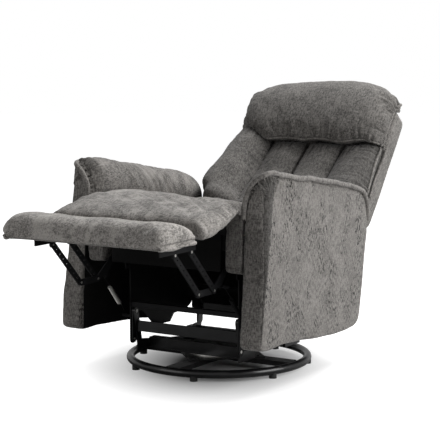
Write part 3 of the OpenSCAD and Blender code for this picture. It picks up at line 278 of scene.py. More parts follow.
def puff(obj, held, cap, slack):
    """Blows a cover up with cloth, its seams held, and keeps each point within cap of where it began.

    held is each point's share, from 0, free, to 1, sewn down.
    """
    start = points_of(obj.data)
    group = obj.vertex_groups.new(name="sewn")
    for share in np.unique(np.round(held, 1)):
        if share > 0:
            index = np.flatnonzero(np.round(held, 1) == share)
            group.add(index.tolist(), float(share), "REPLACE")
    mod = obj.modifiers.new("Stuffing", "CLOTH")
    cloth = mod.settings
    cloth.quality = 4
    cloth.mass = 0.3
    cloth.tension_stiffness = cloth.compression_stiffness = 12
    cloth.shear_stiffness = 5
    cloth.bending_stiffness = 0.4
    cloth.use_pressure = True
    cloth.uniform_pressure_force = 4
    cloth.shrink_min = -slack
    cloth.vertex_group_mass = "sewn"
    cloth.pin_stiffness = 1
    cloth.effector_weights.gravity = 0
    mod.collision_settings.use_collision = False
    scene = bpy.context.scene
    for step in range(1, CLOTH_STEPS + 1):
        scene.frame_set(step)
    graph = bpy.context.evaluated_depsgraph_get()
    blown = points_of(obj.evaluated_get(graph).data)
    obj.modifiers.clear()
    obj.vertex_groups.clear()
    scene.frame_set(1)
    if len(blown) == len(start) and np.isfinite(blown).all():
        shift = blown - start
        far = np.linalg.norm(shift, axis=1)
        move_points(obj.data, start + shift * np.minimum(1, cap / np.maximum(far, 1e-9))[:, None])


def stuffed(name, rings, held, voxel, even, cap, slack):
    """A cushion: a skin through rings in metres, evened out, blown up as cloth and made fine."""
    obj = solid(name, rings)
    remesh(obj, voxel)
    relax(obj.data, even)
    puff(obj, np.clip(held(points_of(obj.data)), 0, 1), cap, slack)
    relax(obj.data, 1)
    subdivide(obj)
    return obj


def push(obj, depth):
    """Moves each point along its normal by depth, a function of the points, in metres."""
    p = points_of(obj.data)
    move_points(obj.data, p + rows(obj.data.vertex_normals, "vector") * depth(p)[:, None])


def near_path(p, path):
    """Distance from each point to a path, and how far along the path the nearest place is."""
    path = np.asarray(path, float)
    best = np.full(len(p), np.inf)
    along = np.zeros(len(p))
    length = 0.0
    for a, b in zip(path[:-1], path[1:]):
        d = b - a
        size = np.linalg.norm(d)
        t = np.clip((p - a) @ d / size**2, 0, 1)
        far = np.linalg.norm(p - a - t[:, None] * d, axis=1)
        closer = far < best
        best = np.where(closer, far, best)
        along = np.where(closer, length + t * size, along)
        length += size
    return best, along


def seam(p, path, wide, deep):
    """A groove along a path, as a depth at each point."""
    return -deep * sewn(p, [path], wide)


def sewn(p, paths, wide):
    """How much of each point the seams along some paths take hold of: 1 on a path, and less off it."""
    return np.max([np.exp(-((near_path(p, path)[0] / wide) ** 2)) for path in paths], axis=0)


def laid(path, obj, lift=0.0):
    """Drops a path onto the nearest places of a piece's surface, lifted off it a little."""
    tree = BVHTree.FromObject(obj, bpy.context.evaluated_depsgraph_get())
    near = [tree.find_nearest(Vector(place)) for place in path]
    return smoothed([tuple(spot + way * lift) for spot, way, _, _ in near])


def smoothed(path):
    """A path with its corners worn down, its ends kept."""
    p = np.array(path, float)
    for _ in range(3):
        p[1:-1] = 0.5 * p[1:-1] + 0.25 * (p[:-2] + p[2:])
    return p


def tint_faces(obj, key, choose):
    """Gives some faces of a piece another finish; choose takes their middles and normals."""
    mesh, made = obj.data, finish(key)
    if made.name not in mesh.materials:
        mesh.materials.append(made)
    index = rows(mesh.polygons, "material_index", 1, np.int32)[:, 0]
    pick = choose(rows(mesh.polygons, "center"), rows(mesh.polygons, "normal"))
    index[pick] = mesh.materials.find(made.name)
    mesh.polygons.foreach_set("material_index", index)
    mesh.update()


def gathers(p, path, reach, pitch, high, seed):
    """Puckers that run out from a sewn path and fade with distance from it."""
    far, along = near_path(p, path)
    a, b, c, d = np.random.default_rng(seed).uniform(0, 2 * math.pi, 4)
    beat = waves(along, pitch, a) + 0.6 * waves(along, pitch * 1.7, b) + 0.5 * waves(along, pitch * 0.63, c + far * 40)
    swell = 0.6 + 0.4 * waves(along, pitch * 7, d)
    return high * beat * swell * np.exp(-far / reach) * (1 - np.exp(-((far / (0.2 * reach)) ** 2)))


def puckers(p, path, near, far, pitch, high, seed):
    """Close folds across a strip that lies between two distances from a path."""
    away, along = near_path(p, path)
    a, b = np.random.default_rng(seed).uniform(0, 2 * math.pi, 2)
    beat = waves(along, pitch, a) + 0.5 * waves(along, pitch * 1.6, b)
    middle, half = (near + far) / 2, (far - near) / 2
    return high * beat * np.exp(-(((away - middle) / half) ** 4))


def pulls(p):
    """Diagonal pull lines across an arm pad."""
    along = p[:, 1] * 0.80 + p[:, 2] * 0.60
    wave = waves(along, 0.060, 1.5 * np.sin(p[:, 1] * 12 + 0.5)) ** 3
    fine = waves(along, 0.031, 2.1 * np.sin(p[:, 1] * 17)) ** 3
    return (0.0016 * wave + 0.0008 * fine) * np.exp(-(((p[:, 1] - 0.02) / 0.20) ** 2))


# ---------------------------------------------------------------- finishes

class Field:
    """A socket of a finish, so that sums and products on it add the Math nodes."""

    def __init__(self, finish, socket):
        self.finish, self.socket = finish, socket

    def math(self, operation, other):
        return self.finish.node("ShaderNodeMath", {"operation": operation}, self, other)

    def __add__(self, other):
        return self.math("ADD", other)

    __radd__ = __add__

    def __mul__(self, other):
        return self.math("MULTIPLY", other)

    def between(self, low, high):
        """0 at low, 1 at high, and smooth in between."""
        return self.finish.node("ShaderNodeMapRange", {"interpolation_type": "SMOOTHSTEP"}, self, low, high, 0.0, 1.0)


class Finish:
    """A material under construction, whose object coordinates are its place."""

    def __init__(self, name, **plain):
        self.material = bpy.data.materials.new(name)
        self.material.use_nodes = True
        self.tree = self.material.node_tree
        self.shader = next(n for n in self.tree.nodes if n.type == "BSDF_PRINCIPLED")
        for socket, value in plain.items():
            self.shader.inputs[socket.replace("_", " ")].default_value = value
        self.place = self.node("ShaderNodeTexCoord", out="Object")

    def node(self, kind, settings=None, *inputs, out=0, **named):
        node = self.tree.nodes.new(kind)
        for key, value in (settings or {}).items():
            setattr(node, key, value)
        for socket, value in zip(node.inputs, inputs):
            self.feed(socket, value)
        for key, value in named.items():
            self.feed(node.inputs[key.replace("_", " ")], value)
        return Field(self, node.outputs[out])

    def feed(self, socket, value):
        if isinstance(value, Field):
            self.tree.links.new(value.socket, socket)
        else:
            socket.default_value = value

    def stretched(self, scale, lean=0.0):
        """Object coordinates, leant about the X axis and then scaled."""
        leant = self.node("ShaderNodeMapping", {"vector_type": "POINT"}, self.place, Rotation=(lean, 0, 0))
        return self.node("ShaderNodeVectorMath", {"operation": "MULTIPLY"}, leant, tuple(scale))

    def noise(self, at, scale, detail=2.0, rough=0.5):
        """Smooth noise about 0.5, at coordinates times a scale."""
        return self.node("ShaderNodeTexNoise", None, Vector=at, Scale=scale, Detail=detail, Roughness=rough)

    def mix(self, share, a, b):
        """A colour between two, or one of them by a share."""
        node = self.tree.nodes.new("ShaderNodeMix")
        node.data_type = "RGBA"
        self.feed(node.inputs[0], share)
        self.feed(node.inputs[6], a if isinstance(a, Field) else (*a, 1))
        self.feed(node.inputs[7], b if isinstance(b, Field) else (*b, 1))
        return Field(self, node.outputs[2])

    def set(self, socket, value):
        self.feed(self.shader.inputs[socket], value)

    def bump(self, height, strength, distance):
        self.set("Normal", self.node("ShaderNodeBump", None, Strength=strength, Distance=distance, Height=height))


def tone(colour, share):
    """A colour made darker or lighter."""
    return tuple(min(1.0, c * share) for c in colour)


def chenille(name, colour, lean, shade, contrast, fleck, brushed):
    """Pile cloth: brushed patches, slubs along the warp, crosswise picks, dark flecks and a fine thread."""
    f = Finish(name, Roughness=0.93, Sheen_Weight=0.18, Sheen_Roughness=0.5, Specular_IOR_Level=0.12)
    base = tone(colour, shade)
    cloud = f.noise(f.place, 16.0, 5.0, 0.65)
    slub = f.noise(f.stretched((230, 230, 80), lean), 1.0, 3.0, 0.75)
    pick = f.noise(f.stretched((75, 75, 270), lean), 1.0, 3.0, 0.65)
    thread = f.noise(f.stretched((1100, 1100, 380), lean), 1.0, 2.0, 0.6)
    light = cloud * 0.7 + slub * 2.2 + pick * 1.1 + thread * 0.3
    body = f.mix(light.between(1.72, 2.52), tone(base, 1 - 0.62 * contrast), tone(base, 1 + 0.62 * contrast))
    brush = f.noise(f.stretched((18, 11, 14), lean), 1.0, 6.0, 0.68)
    body = f.mix(brush.between(0.50, 0.63) * brushed, body, tone(base, 1.95))
    body = f.mix(brush.between(0.47, 0.36) * brushed * 0.8, body, tone(base, 0.42))
    patch = f.noise(f.stretched((19, 19, 8), lean), 1.0, 4.0, 0.65).between(0.42, 0.60)
    dark = f.noise(f.stretched((230, 230, 84), lean), 1.0, 1.5, 0.6).between(0.52, 0.60)
    body = f.mix(dark * (patch * 0.85 + 0.15) * fleck, body, tone(base, 0.10))
    f.set("Base Color", body)
    f.set("Roughness", 0.86 + thread * 0.12)
    f.bump(thread * 0.3 + slub * 1.0 + pick * 0.5, 0.7, 0.0026)
    return f.material


def black_cloth(name, colour, share=1.0):
    """Thin woven cloth or thread, a share as dark as its colour."""
    f = Finish(name, Roughness=0.95, Specular_IOR_Level=0.2)
    spot = f.noise(f.place, 900.0, 2.0)
    fold = f.noise(f.place, 18.0, 2.0)
    f.set("Base Color", f.mix(fold * 0.6 + spot * 0.4, tone(colour, 0.6 * share), tone(colour, 1.5 * share)))
    f.bump(spot + fold * 2.0, 0.3, 0.0008)
    return f.material


def black_paint(name, colour, gloss):
    """Paint on pressed steel, a little uneven and dusty; gloss from 0, matt, to 1."""
    f = Finish(name, Coat_Weight=0.32 * gloss, Coat_Roughness=0.10, Specular_IOR_Level=0.08 + 0.20 * gloss)
    peel = f.noise(f.place, 420.0, 2.0)
    dust = f.noise(f.place, 35.0, 4.0, 0.6)
    worn = f.noise(f.place, 160.0, 3.0, 0.7).between(0.66, 0.74)
    body = f.mix(dust.between(0.45, 0.8), colour, tone(colour, 2.2))
    f.set("Base Color", f.mix(worn * 0.35, body, tone(colour, 6.0)))
    f.set("Roughness", (0.58 - 0.36 * gloss) + dust * 0.22)
    f.bump(peel, 0.12, 0.0004)
    return f.material


def zinc(name, colour):
    """Plated steel, brushed along X."""
    f = Finish(name, Metallic=1.0)
    brushed = f.noise(f.stretched((150, 900, 900)), 1.0, 3.0)
    patch = f.noise(f.place, 60.0, 3.0)
    f.set("Base Color", f.mix(patch, tone(colour, 0.75), tone(colour, 1.15)))
    f.set("Roughness", 0.26 + brushed * 0.22)
    f.bump(brushed, 0.1, 0.0003)
    return f.material


def moulded(name, colour):
    """A grained moulding, a little worn."""
    f = Finish(name, Specular_IOR_Level=0.4)
    grain = f.noise(f.place, 1400.0, 2.0)
    wear = f.noise(f.place, 40.0, 3.0)
    f.set("Base Color", f.mix(wear, tone(colour, 0.8), tone(colour, 1.3)))
    f.set("Roughness", 0.42 + wear * 0.15)
    f.bump(grain, 0.25, 0.0003)
    return f.material


def timber(name, colour):
    """Sawn timber, its grain along X."""
    f = Finish(name, Roughness=0.7)
    rings = f.noise(f.stretched((14, 160, 160)), 1.0, 4.0, 0.6)
    fibre = f.noise(f.stretched((60, 1200, 1200)), 1.0, 2.0)
    f.set("Base Color", f.mix(rings.between(0.3, 0.7), tone(colour, 0.62), tone(colour, 1.15)))
    f.set("Roughness", 0.62 + fibre * 0.2)
    f.bump(fibre, 0.3, 0.0005)
    return f.material


# Lean of the pile on the back and on level cloth
UP, FLAT = RECLINE + TILT, math.pi / 2

# Chenille finishes: lean of the pile, shade, contrast, dark flecks and brushed marks
# The shade column gives lit and shaded copies of the one cloth; the rows marked below paint shade or light into its
# colour.
CHENILLES = {
    "side": ("chenille_side", 0.0, 0.86, 0.55, 1.0, 0.10),
    # painted shade where the arms' front corners turn back along the sides
    "wrap": ("chenille_corner", 0.0, 0.34, 0.8, 0.3, 0.0),
    "front": ("chenille_front", 0.0, 0.84, 0.8, 0.3, 0.0),
    # painted shade on the back's right outer channel
    "channel_side": ("chenille_channel_side", UP, 0.34, 0.9, 0.3, 0.12),
    # painted shadow in the seams between the back's channels
    "crease": ("chenille_crease", 0.0, 0.14, 0.8, 0.3, 0.0),
    # painted shade under the seat's front corners
    "block": ("chenille_block", 0.0, 0.62, 0.8, 0.3, 0.0),
    "top": ("chenille_seat", FLAT, 0.95, 0.8, 0.4, 0.55),
    # painted shade on the arm pads
    "pad": ("chenille_arm_pad", FLAT, 0.67, 0.8, 0.4, 0.50),
    # painted light on the footrest
    "foot": ("chenille_footrest", FLAT, 1.25, 0.8, 0.4, 0.50),
    # painted shade on the head pillow
    "back": ("chenille_pillow", UP, 0.56, 0.9, 0.3, 0.15),
    # painted shade on the back's channels
    "channel": ("chenille_back", UP, 0.42, 0.9, 0.3, 0.12),
    "shell": ("chenille_outside_back", UP, 0.72, 0.75, 0.6, 0.1),
    "welt": ("chenille_welt", 0.0, 0.82, 0.7, 0.2, 0.0),
    "dark_welt": ("chenille_back_welt", UP, 0.80, 0.7, 0.2, 0.0),
}

# The other finishes: maker, name, colour in the panel and the maker's own value
OTHERS = {
    "thread": (black_cloth, "sewing_thread", "cloth", 0.45),
    "black_cloth": (black_cloth, "dust_cloth", "lining"),
    "black_steel": (black_paint, "gloss_black_paint", "paint", 1.0),
    "matt_steel": (black_paint, "matt_black_paint", "paint", 0.25),
    "zinc_steel": (zinc, "zinc_plate", "zinc"),
    "timber": (timber, "frame_timber", "timber"),
    "black_plastic": (moulded, "black_moulding", "plastic"),
}


def finish(key):
    """The material of that key, made on first use from the colours in the panel."""
    if key in CHENILLES:
        make, colour = chenille, "cloth"
        name, *values = CHENILLES[key]
    else:
        make, name, colour, *values = OTHERS[key]
    colours = bpy.context.scene.recliner_colours
    return bpy.data.materials.get(name) or make(name, getattr(colours, colour), *values)


def dress(obj, key, body, replaces=()):
    """Gives a finished piece its material, its body and the CAD nodes that it stands for."""
    if not obj.data.materials:
        obj.data.materials.append(finish(key))
    if body:
        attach(obj, body)
    if replaces:
        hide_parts(*replaces)
    return obj


def repaint(key, *nodes):
    """Gives CAD nodes a finish."""
    for name in nodes:
        obj = frame["nodes"][name]
        obj.data.materials.clear()
        obj.data.materials.append(finish(key))


# ---------------------------------------------------------------- node trees

def tree_of(name, **sizes):
    """An empty geometry tree, with its geometry, some sizes and a material as inputs."""
    tree = bpy.data.node_groups.new(name, "GeometryNodeTree")
    face = tree.interface
    face.new_socket("Geometry", in_out="INPUT", socket_type="NodeSocketGeometry")
    for label, value in sizes.items():
        face.new_socket(label, in_out="INPUT", socket_type="NodeSocketFloat").default_value = value
    face.new_socket("Material", in_out="INPUT", socket_type="NodeSocketMaterial")
    face.new_socket("Geometry", in_out="OUTPUT", socket_type="NodeSocketGeometry")
    return tree, tree.nodes.new("NodeGroupInput").outputs


def add(tree, kind, inputs=None, **settings):
    """Adds a node, each input given a value or another node's socket, and gives back its outputs."""
    node = tree.nodes.new(kind)
    for key, value in settings.items():
        setattr(node, key, value)
    for key, value in (inputs or {}).items():
        if isinstance(value, bpy.types.NodeSocket):
            tree.links.new(value, node.inputs[key])
        else:
            node.inputs[key].default_value = value
    return node.outputs


def ended(tree, given, geometry):
    """A tree whose last nodes make its geometry real, smooth and of the given material."""
    real = add(tree, "GeometryNodeRealizeInstances", {"Geometry": geometry})
    smooth = add(tree, "GeometryNodeSetShadeSmooth", {"Geometry": real[0]})
    paint = add(tree, "GeometryNodeSetMaterial", {"Geometry": smooth[0], "Material": given["Material"]})
    add(tree, "NodeGroupOutput", {0: paint[0]})
    return tree


def swept(tree, path, radius, sides, scale=None):
    """A rod of a radius, with some sides, swept along a path, its thickness scaled along it."""
    ring = add(tree, "GeometryNodeCurvePrimitiveCircle", {"Radius": radius, "Resolution": sides})
    links = {"Curve": path, "Profile Curve": ring[0], "Fill Caps": True}
    return add(tree, "GeometryNodeCurveToMesh", links if scale is None else {**links, "Scale": scale})[0]


def squashed(tree, item, given):
    """A round item as high against its width as the given sizes say."""
    ratio = add(tree, "ShaderNodeMath", {0: given["Height"], 1: given["Width"]}, operation="DIVIDE")
    scale = add(tree, "ShaderNodeCombineXYZ", {"X": 1.0, "Y": 1.0, "Z": ratio[0]})
    return add(tree, "GeometryNodeTransform", {"Geometry": item, "Scale": scale[0]})[0]


def welt_tree():
    """A piped edge: a cord swept along a path, with a slow waver and small puckers in its thickness."""
    if "Welt" in bpy.data.node_groups:
        return bpy.data.node_groups["Welt"]
    tree, given = tree_of("Welt", Radius=0.004, Step=0.003, Pucker=0.25, Waver=0.001, Seed=0.0)
    even = add(tree, "GeometryNodeResampleCurve", {"Curve": given["Geometry"], "Length": given["Step"]}, mode="LENGTH")
    place = add(tree, "GeometryNodeInputPosition")

    def noise(scale, detail):
        return add(tree, "ShaderNodeTexNoise", {"Vector": place[0], "W": given["Seed"], "Scale": scale,
                                                "Detail": detail}, noise_dimensions="4D")

    centred = add(tree, "ShaderNodeVectorMath", {0: noise(28.0, 1.0)["Color"], 1: (0.5, 0.5, 0.5)},
                  operation="SUBTRACT")
    shift = add(tree, "ShaderNodeVectorMath", {0: centred[0], "Scale": given["Waver"]}, operation="SCALE")
    moved = add(tree, "GeometryNodeSetPosition", {"Geometry": even[0], "Offset": shift[0]})
    thick = add(tree, "ShaderNodeMath", {0: noise(160.0, 2.0)[0], 1: given["Pucker"], 2: 0.85},
                operation="MULTIPLY_ADD")
    return ended(tree, given, swept(tree, moved[0], given["Radius"], 10, thick[0]))


def head_tree():
    """A domed head on a flat collar, standing on each point of a mesh."""
    if "Heads" in bpy.data.node_groups:
        return bpy.data.node_groups["Heads"]
    tree, given = tree_of("Heads", Width=0.006, Height=0.002)
    dome = add(tree, "GeometryNodeMeshUVSphere", {"Radius": given["Width"], "Segments": 20, "Rings": 12})
    collar = add(tree, "GeometryNodeMeshCylinder", {"Radius": given["Width"], "Depth": given["Height"],
                                                    "Vertices": 20})
    washer = add(tree, "GeometryNodeTransform", {"Geometry": collar[0], "Scale": (1.25, 1.25, 0.5)})
    head = add(tree, "GeometryNodeJoinGeometry", {0: squashed(tree, dome[0], given)})
    tree.links.new(washer[0], head[0].node.inputs[0])
    copies = add(tree, "GeometryNodeInstanceOnPoints", {"Points": given["Geometry"], "Instance": head[0]})
    return ended(tree, given, copies[0])


def stitch_tree():
    """Short stitches that lie along a path, a step apart."""
    if "Stitches" in bpy.data.node_groups:
        return bpy.data.node_groups["Stitches"]
    tree, given = tree_of("Stitches", Width=0.006, Height=0.002, Step=0.006)
    thread = add(tree, "GeometryNodeMeshUVSphere", {"Radius": given["Width"], "Segments": 8, "Rings": 6})
    even = add(tree, "GeometryNodeResampleCurve", {"Curve": given["Geometry"], "Length": given["Step"]}, mode="LENGTH")
    along = add(tree, "GeometryNodeInputTangent")
    turn = add(tree, "FunctionNodeAlignRotationToVector", {"Vector": along[0]}, axis="Z")
    copies = add(tree, "GeometryNodeInstanceOnPoints", {"Points": even[0], "Instance": squashed(tree, thread[0], given),
                                                        "Rotation": turn[0]})
    return ended(tree, given, copies[0])


def coil_tree():
    """A close-wound spring along Z, from its curls, radius, length and wire."""
    if "Coil" in bpy.data.node_groups:
        return bpy.data.node_groups["Coil"]
    tree, given = tree_of("Coil", Curls=16.0, Radius=0.006, Length=0.1, Wire=0.0015)
    spiral = add(tree, "GeometryNodeCurveSpiral", {"Rotations": given["Curls"], "Start Radius": given["Radius"],
                                                   "End Radius": given["Radius"], "Height": given["Length"],
                                                   "Resolution": 16})
    return ended(tree, given, swept(tree, spiral[0], given["Wire"], 7))


def grown(obj, tree, **inputs):
    """Runs a tree on an object and keeps the result as a plain mesh object."""
    mod = obj.modifiers.new("Grow", "NODES")
    mod.node_group = tree
    ids = {item.name: item.identifier for item in tree.interface.items_tree if item.in_out == "INPUT"}
    for key, value in inputs.items():
        mod[ids[key]] = value
    name, mesh = obj.name, made_of(obj)
    bpy.data.objects.remove(obj)
    return new_object(name, mesh)


def path_object(name, paths):
    """A curve object with a straight-edged path through each list of places."""
    data = bpy.data.curves.new(name, "CURVE")
    data.dimensions = "3D"
    for path in paths:
        spline = data.splines.new("POLY")
        spline.points.add(len(path) - 1)
        for point, place in zip(spline.points, path):
            point.co = (*place, 1)
    return new_object(name, data)


def welt(name, paths, radius, body, key="welt", waver=0.001, pucker=0.3, seed=0.0):
    """Piping along paths in metres."""
    obj = grown(path_object(name, paths), welt_tree(), Radius=radius, Pucker=pucker, Waver=waver, Seed=seed,
                Material=finish(key))
    return dress(obj, key, body)


def stitches(name, paths, body, key="welt"):
    """A row of stitches 4.5 mm long along each path in metres."""
    obj = grown(path_object(name, paths), stitch_tree(), Width=0.0005, Height=0.0045 / 2, Step=0.0065,
                Material=finish(key))
    return dress(obj, key, body)


def joined(name, pieces):
    """One mesh object from several, in the order given."""
    points, faces, base = [], [], 0
    for piece in pieces:
        mesh = piece.data
        points.append(points_of(mesh))
        faces += [tuple(v + base for v in poly.vertices) for poly in mesh.polygons]
        base += len(mesh.vertices)
        bpy.data.objects.remove(piece)
    return mesh_piece(name, np.concatenate(points), faces)


# ---------------------------------------------------------------- values in the panel

def length_value(name, description, default):
    return bpy.props.FloatProperty(name=name, description=description, default=default, unit="LENGTH")


def colour_value(name, description, default):
    return bpy.props.FloatVectorProperty(name=name, description=description, subtype="COLOR", default=default)


class ReclinerSizes(bpy.types.PropertyGroup):
    """Sizes of the upholstery and the studio that the panel offers."""

    welt_radius: length_value("Welt radius", "Radius of the piping on the arms", 0.0060)
    seam_depth: length_value("Seam depth", "A third of the depth of the grooves between the back's channels", 0.005)
    gather_height: length_value("Gather height", "Height of the puckers below the arms' piping, over 3.4", 0.0016)
    loft: length_value("Loft", "How far the stuffing may push a cover out, before the cover's own share", 0.008)
    camera_distance: length_value("Camera distance", "Distance of the camera from the chair's middle", 5.09)
    floor_radius: length_value("Floor radius", "Radius of the studio floor", 14.0)


class ReclinerColours(bpy.types.PropertyGroup):
    """Colours of the finishes."""

    cloth: colour_value("Cloth", "Colour of the chenille", (0.235, 0.222, 0.208))
    lining: colour_value("Lining", "Colour of the thin cloth underneath", (0.006, 0.006, 0.006))
    paint: colour_value("Paint", "Colour of the painted steel", (0.005, 0.005, 0.0055))
    zinc: colour_value("Zinc", "Colour of the plated steel", (0.62, 0.61, 0.58))
    timber: colour_value("Timber", "Colour of the frame timber", (0.52, 0.37, 0.22))
    plastic: colour_value("Plastic", "Colour of the mouldings", (0.018, 0.018, 0.018))


# ---------------------------------------------------------------- shapes of the covers

def at_x(x, section):
    """A section, front to rear and up, as places at x."""
    return np.column_stack([np.full(len(section), float(x)), section])


def drawn_in(outline, middle, inset, most=0.9):
    """An outline drawn in towards its middle, by no more than a share of the way."""
    d = np.array(middle) - outline
    size = np.linalg.norm(d, axis=1, keepdims=True)
    return outline + d / size * np.minimum(inset, size * most)


def square_to(d):
    """Unit vectors square to the given ones in their plane."""
    away = np.column_stack([d[:, 1], -d[:, 0]])
    return away / np.linalg.norm(away, axis=1, keepdims=True)


# An arm's side, as shares of its length and its height
ARM_SHARES = np.array([
    (0, 0), (0, 0.25), (0, 0.5), (0, 0.75), (0, 0.93), (0.004, 0.985), (0.02, 1.0), (0.15, 0.987), (0.289, 0.973),
    (0.54, 0.953), (0.753, 0.932), (0.876, 0.901), (0.938, 0.868), (0.978, 0.8), (1.0, 0.68), (0.985, 0.505),
    (0.976, 0.333), (0.959, 0.188), (0.949, 0.1), (0.936, 0.056), (0.901, 0.029), (0.828, 0.013), (0.714, 0),
    (0.45, 0), (0.2, 0),
])
ARM_OUTLINE = ARM_SHARES * (ARM_LONG, ARM_HIGH) + (-ARM_FRONT, ARM_LOW)
ARM_MIDDLE = (0.0, 370.0)
# How far an arm's top falls from its outer edge, by its distance across
ARM_FALL = np.array([
    (270, 118), (282, 100), (284, 82), (287, 68), (293, 53), (300, 41), (308, 31), (321, 18), (335, 8.5), (347, 2.5),
    (356, 0),
])


def arm_top(y):
    """Height of an arm's upper edge at a place front to rear."""
    return np.interp(y, *ARM_OUTLINE[6:13].T)


def arm_fall(x, y):
    """How far an arm's top lies below its outer edge, less towards the rear."""
    return np.interp(x, *ARM_FALL.T) * (1 - ease((y - 225) / 60))


def arm_corner(z):
    """Radius of an arm's outer front corner, which widens towards the top."""
    return 5 + 30 * np.clip((z - ARM_LOW) / ARM_HIGH, 0, 1) ** 2


def arm_spread(points, flip):
    """Moves the front of an arm's places across: its faces flare a little towards the floor."""
    p = np.array(points, float)
    share = np.clip((p[..., 0] - ARM_IN) / (ARM_OUT - ARM_IN), 0, 1)
    z = p[..., 2]
    if flip > 0:
        inner = np.interp(z, [115, 520, 600], [-4, -4, 0])
        outer = np.interp(z, [115, 262, 327, 450, 560], [0, 4, 6, 3, 0])
    else:
        inner = np.interp(z, [115, 200, 300, 390, 500], [18, 17, 11, 5, 0])
        outer = np.interp(z, [115, 200, 260, 386, 512, 628], [20, 20, 15, 7, 1, 0])
    p[..., 0] += np.exp(-(((p[..., 1] + ARM_FRONT) / 240) ** 2)) * (inner * (1 - share) + outer * share)
    return p * (flip, 1, 1)


def arm_rings():
    """Rings of an arm's cover from its inner face out, with soft edges and a rounded shoulder."""
    outline = curve_through(ARM_OUTLINE, 170, True)
    # each ring's distance across, and how far it is drawn in
    stations = [
        (285, 5), (285.4, 2), (287, 0.6), (290, 0), (294, 0), (299, 0), (305, 0), (312, 0), (319, 0), (326, 0),
        (333, 0), (339, 0), (344, 0.2), (348, 0.6), (351, 1.2), (353.5, 2.2), (355.2, 4), (356.2, 8), (357, 45),
        (357.4, 170),
    ]
    rings = []
    for x, inset in stations:
        p = drawn_in(outline, ARM_MIDDLE, inset)
        p[:, 1] = np.minimum(p[:, 1], arm_top(p[:, 0]) - arm_fall(x, p[:, 0]) + 0.5)
        r = arm_corner(p[:, 1])
        across = np.clip(x - (ARM_OUT - r), 0, r)
        p[:, 0] = np.maximum(p[:, 0], -ARM_FRONT + r - np.sqrt(np.maximum(r**2 - across**2, 0)))
        rings.append(at_x(x, p))
    return np.array(rings)


def arm_edge():
    """The piped edge: over the front's arch, along the outer top edge and down the rear corner."""
    arch = [(283.5, -336, 492), (284, -336.5, 522), (286, -337, 552), (293, -337, 575), (304, -336.5, 593),
            (317, -336, 608), (331, -333, 619), (343, -325, 626), (351, -310, 630), (355, -288, 630.5)]
    dips = [
        [-262, -235, -200, -155, -110, -60, -20, 25, 80, 130, 170, 220, 265],
        [0, 1, 0.5, -4, 0, 1, -1, -4, -2, -5, -4, -3, -1],
    ]
    run = [(ARM_OUT, y, arm_top(y) + 1.0 + np.interp(y, *dips)) for y in np.linspace(-262, 265, 24)]
    rear = [(355.5, 290, 561), (355, 316, 526), (354, 327, 486), (350, 325, 458), (344, 318, 440)]
    return curve_through(arch + run + rear, 240)


# Sections of an arm's pad, across and up from the arm's outer top edge: close over the arch, and plump, whose heights
# are in shares of the pad's rise above the edge and of its drop below it
PAD_CLOSE = np.array([
    (354, 0), (350, 2), (338, -5), (325, -13), (312, -23), (300.5, -35), (291.5, -48), (286, -60), (283, -72),
    (281.5, -84), (281, -94), (282, -102), (284, -108),
], float)
PAD_PLUMP = np.array([
    (354, 0), (350.5, 0.5), (341, 0.88), (326, 1.04), (308, 1.02), (290, 0.78), (274, 0.2), (262, -0.6), (254, -1.5),
    (252, -2.4), (256, -3.3), (267, -4.1), (280, -4.6),
], float)
PAD_DROP = 22


def pad_rings(rise, sweep):
    """Rings of an arm's pad; rise gives its crest by place, and sweep how soon it plumps up behind the arch."""
    under = [(289, -100), (296, -74), (306, -54), (322, -36), (342, -20), (351, -9)]
    front, rear, turn = -333.0, 286.0, arm_corner(ARM_LOW + ARM_HIGH)
    rings = []
    for t in 0.5 - 0.5 * np.cos(np.pi * np.linspace(0, 1, 60)):
        y = front + t * (rear - front)
        plump = PAD_PLUMP.copy()
        plump[:, 1] *= np.where(plump[:, 1] > 0, rise(y), PAD_DROP)
        share = ease((y - front) / sweep) * (0.35 + 0.65 * bulge(np.clip((y - 120) / 180, 0, 1), 5) ** 0.5)
        section = PAD_CLOSE + (plump - PAD_CLOSE) * share
        # the outer edge is carried in where the front corner rounds off
        edge = ARM_OUT - turn + np.sqrt(max(0.0, turn**2 - max(0.0, turn - (y + ARM_FRONT)) ** 2)) - 2
        section[:, 0] = np.minimum(section[:, 0], edge)
        upper = curve_through(section, 34)
        lower = np.minimum(under, (edge - 2, np.inf))
        ring = np.concatenate([upper, lower])
        rings.append(np.column_stack([ring[:, 0], np.full(len(ring), y), arm_top(y) + ring[:, 1]]))
    return np.array(rings)


def arm_board(side, flip):
    """The arm's timber inside its cover, with its shoulder cut back under the pad."""
    outline = drawn_in(curve_through(ARM_OUTLINE, 90, True), ARM_MIDDLE, 22)
    rings = []
    for x in (293, 293.6, 304, 316, 326, 329.4, 330):
        p = outline.copy()
        p[:, 1] = np.minimum(p[:, 1], arm_top(p[:, 0]) - arm_fall(x, p[:, 0]) - 20)
        rings.append(at_x(x, p))
    board = solid(f"arm_board_{side}", world(arm_spread(rings, flip)), smooth=False)
    dress(board, "timber", "chassis", replaces=[f"arm_frame_{side}"])


# Upper edge of the seat and calf pad, level body: place front to rear and height
CHAISE_TOP = [
    (-548, 486), (-535, 494), (-508, 503), (-439, 520), (-367, 534), (-293, 545), (-216, 545), (-132, 528),
    (-46, 508), (72, 489), (170, 478), (200, 473), (208, 465),
]
CHAISE_LOW = [
    (-548, 462), (-540, 446), (-525, 439), (-495, 444), (-463, 453), (-409, 475), (-370, 496), (-341, 511), (-334, 506),
    (-332, 442), (-316, 441), (0, 441), (190, 441), (204, 448), (208, 470),
]


def chaise_half(y):
    """Half the width of the seat and calf pad: wide in front of the arms, narrower between them."""
    return 266 + 16 * ease((-y - 334) / 16) - 22 * ease((y - 150) / 58) - 6 * ease((-y - 500) / 48)


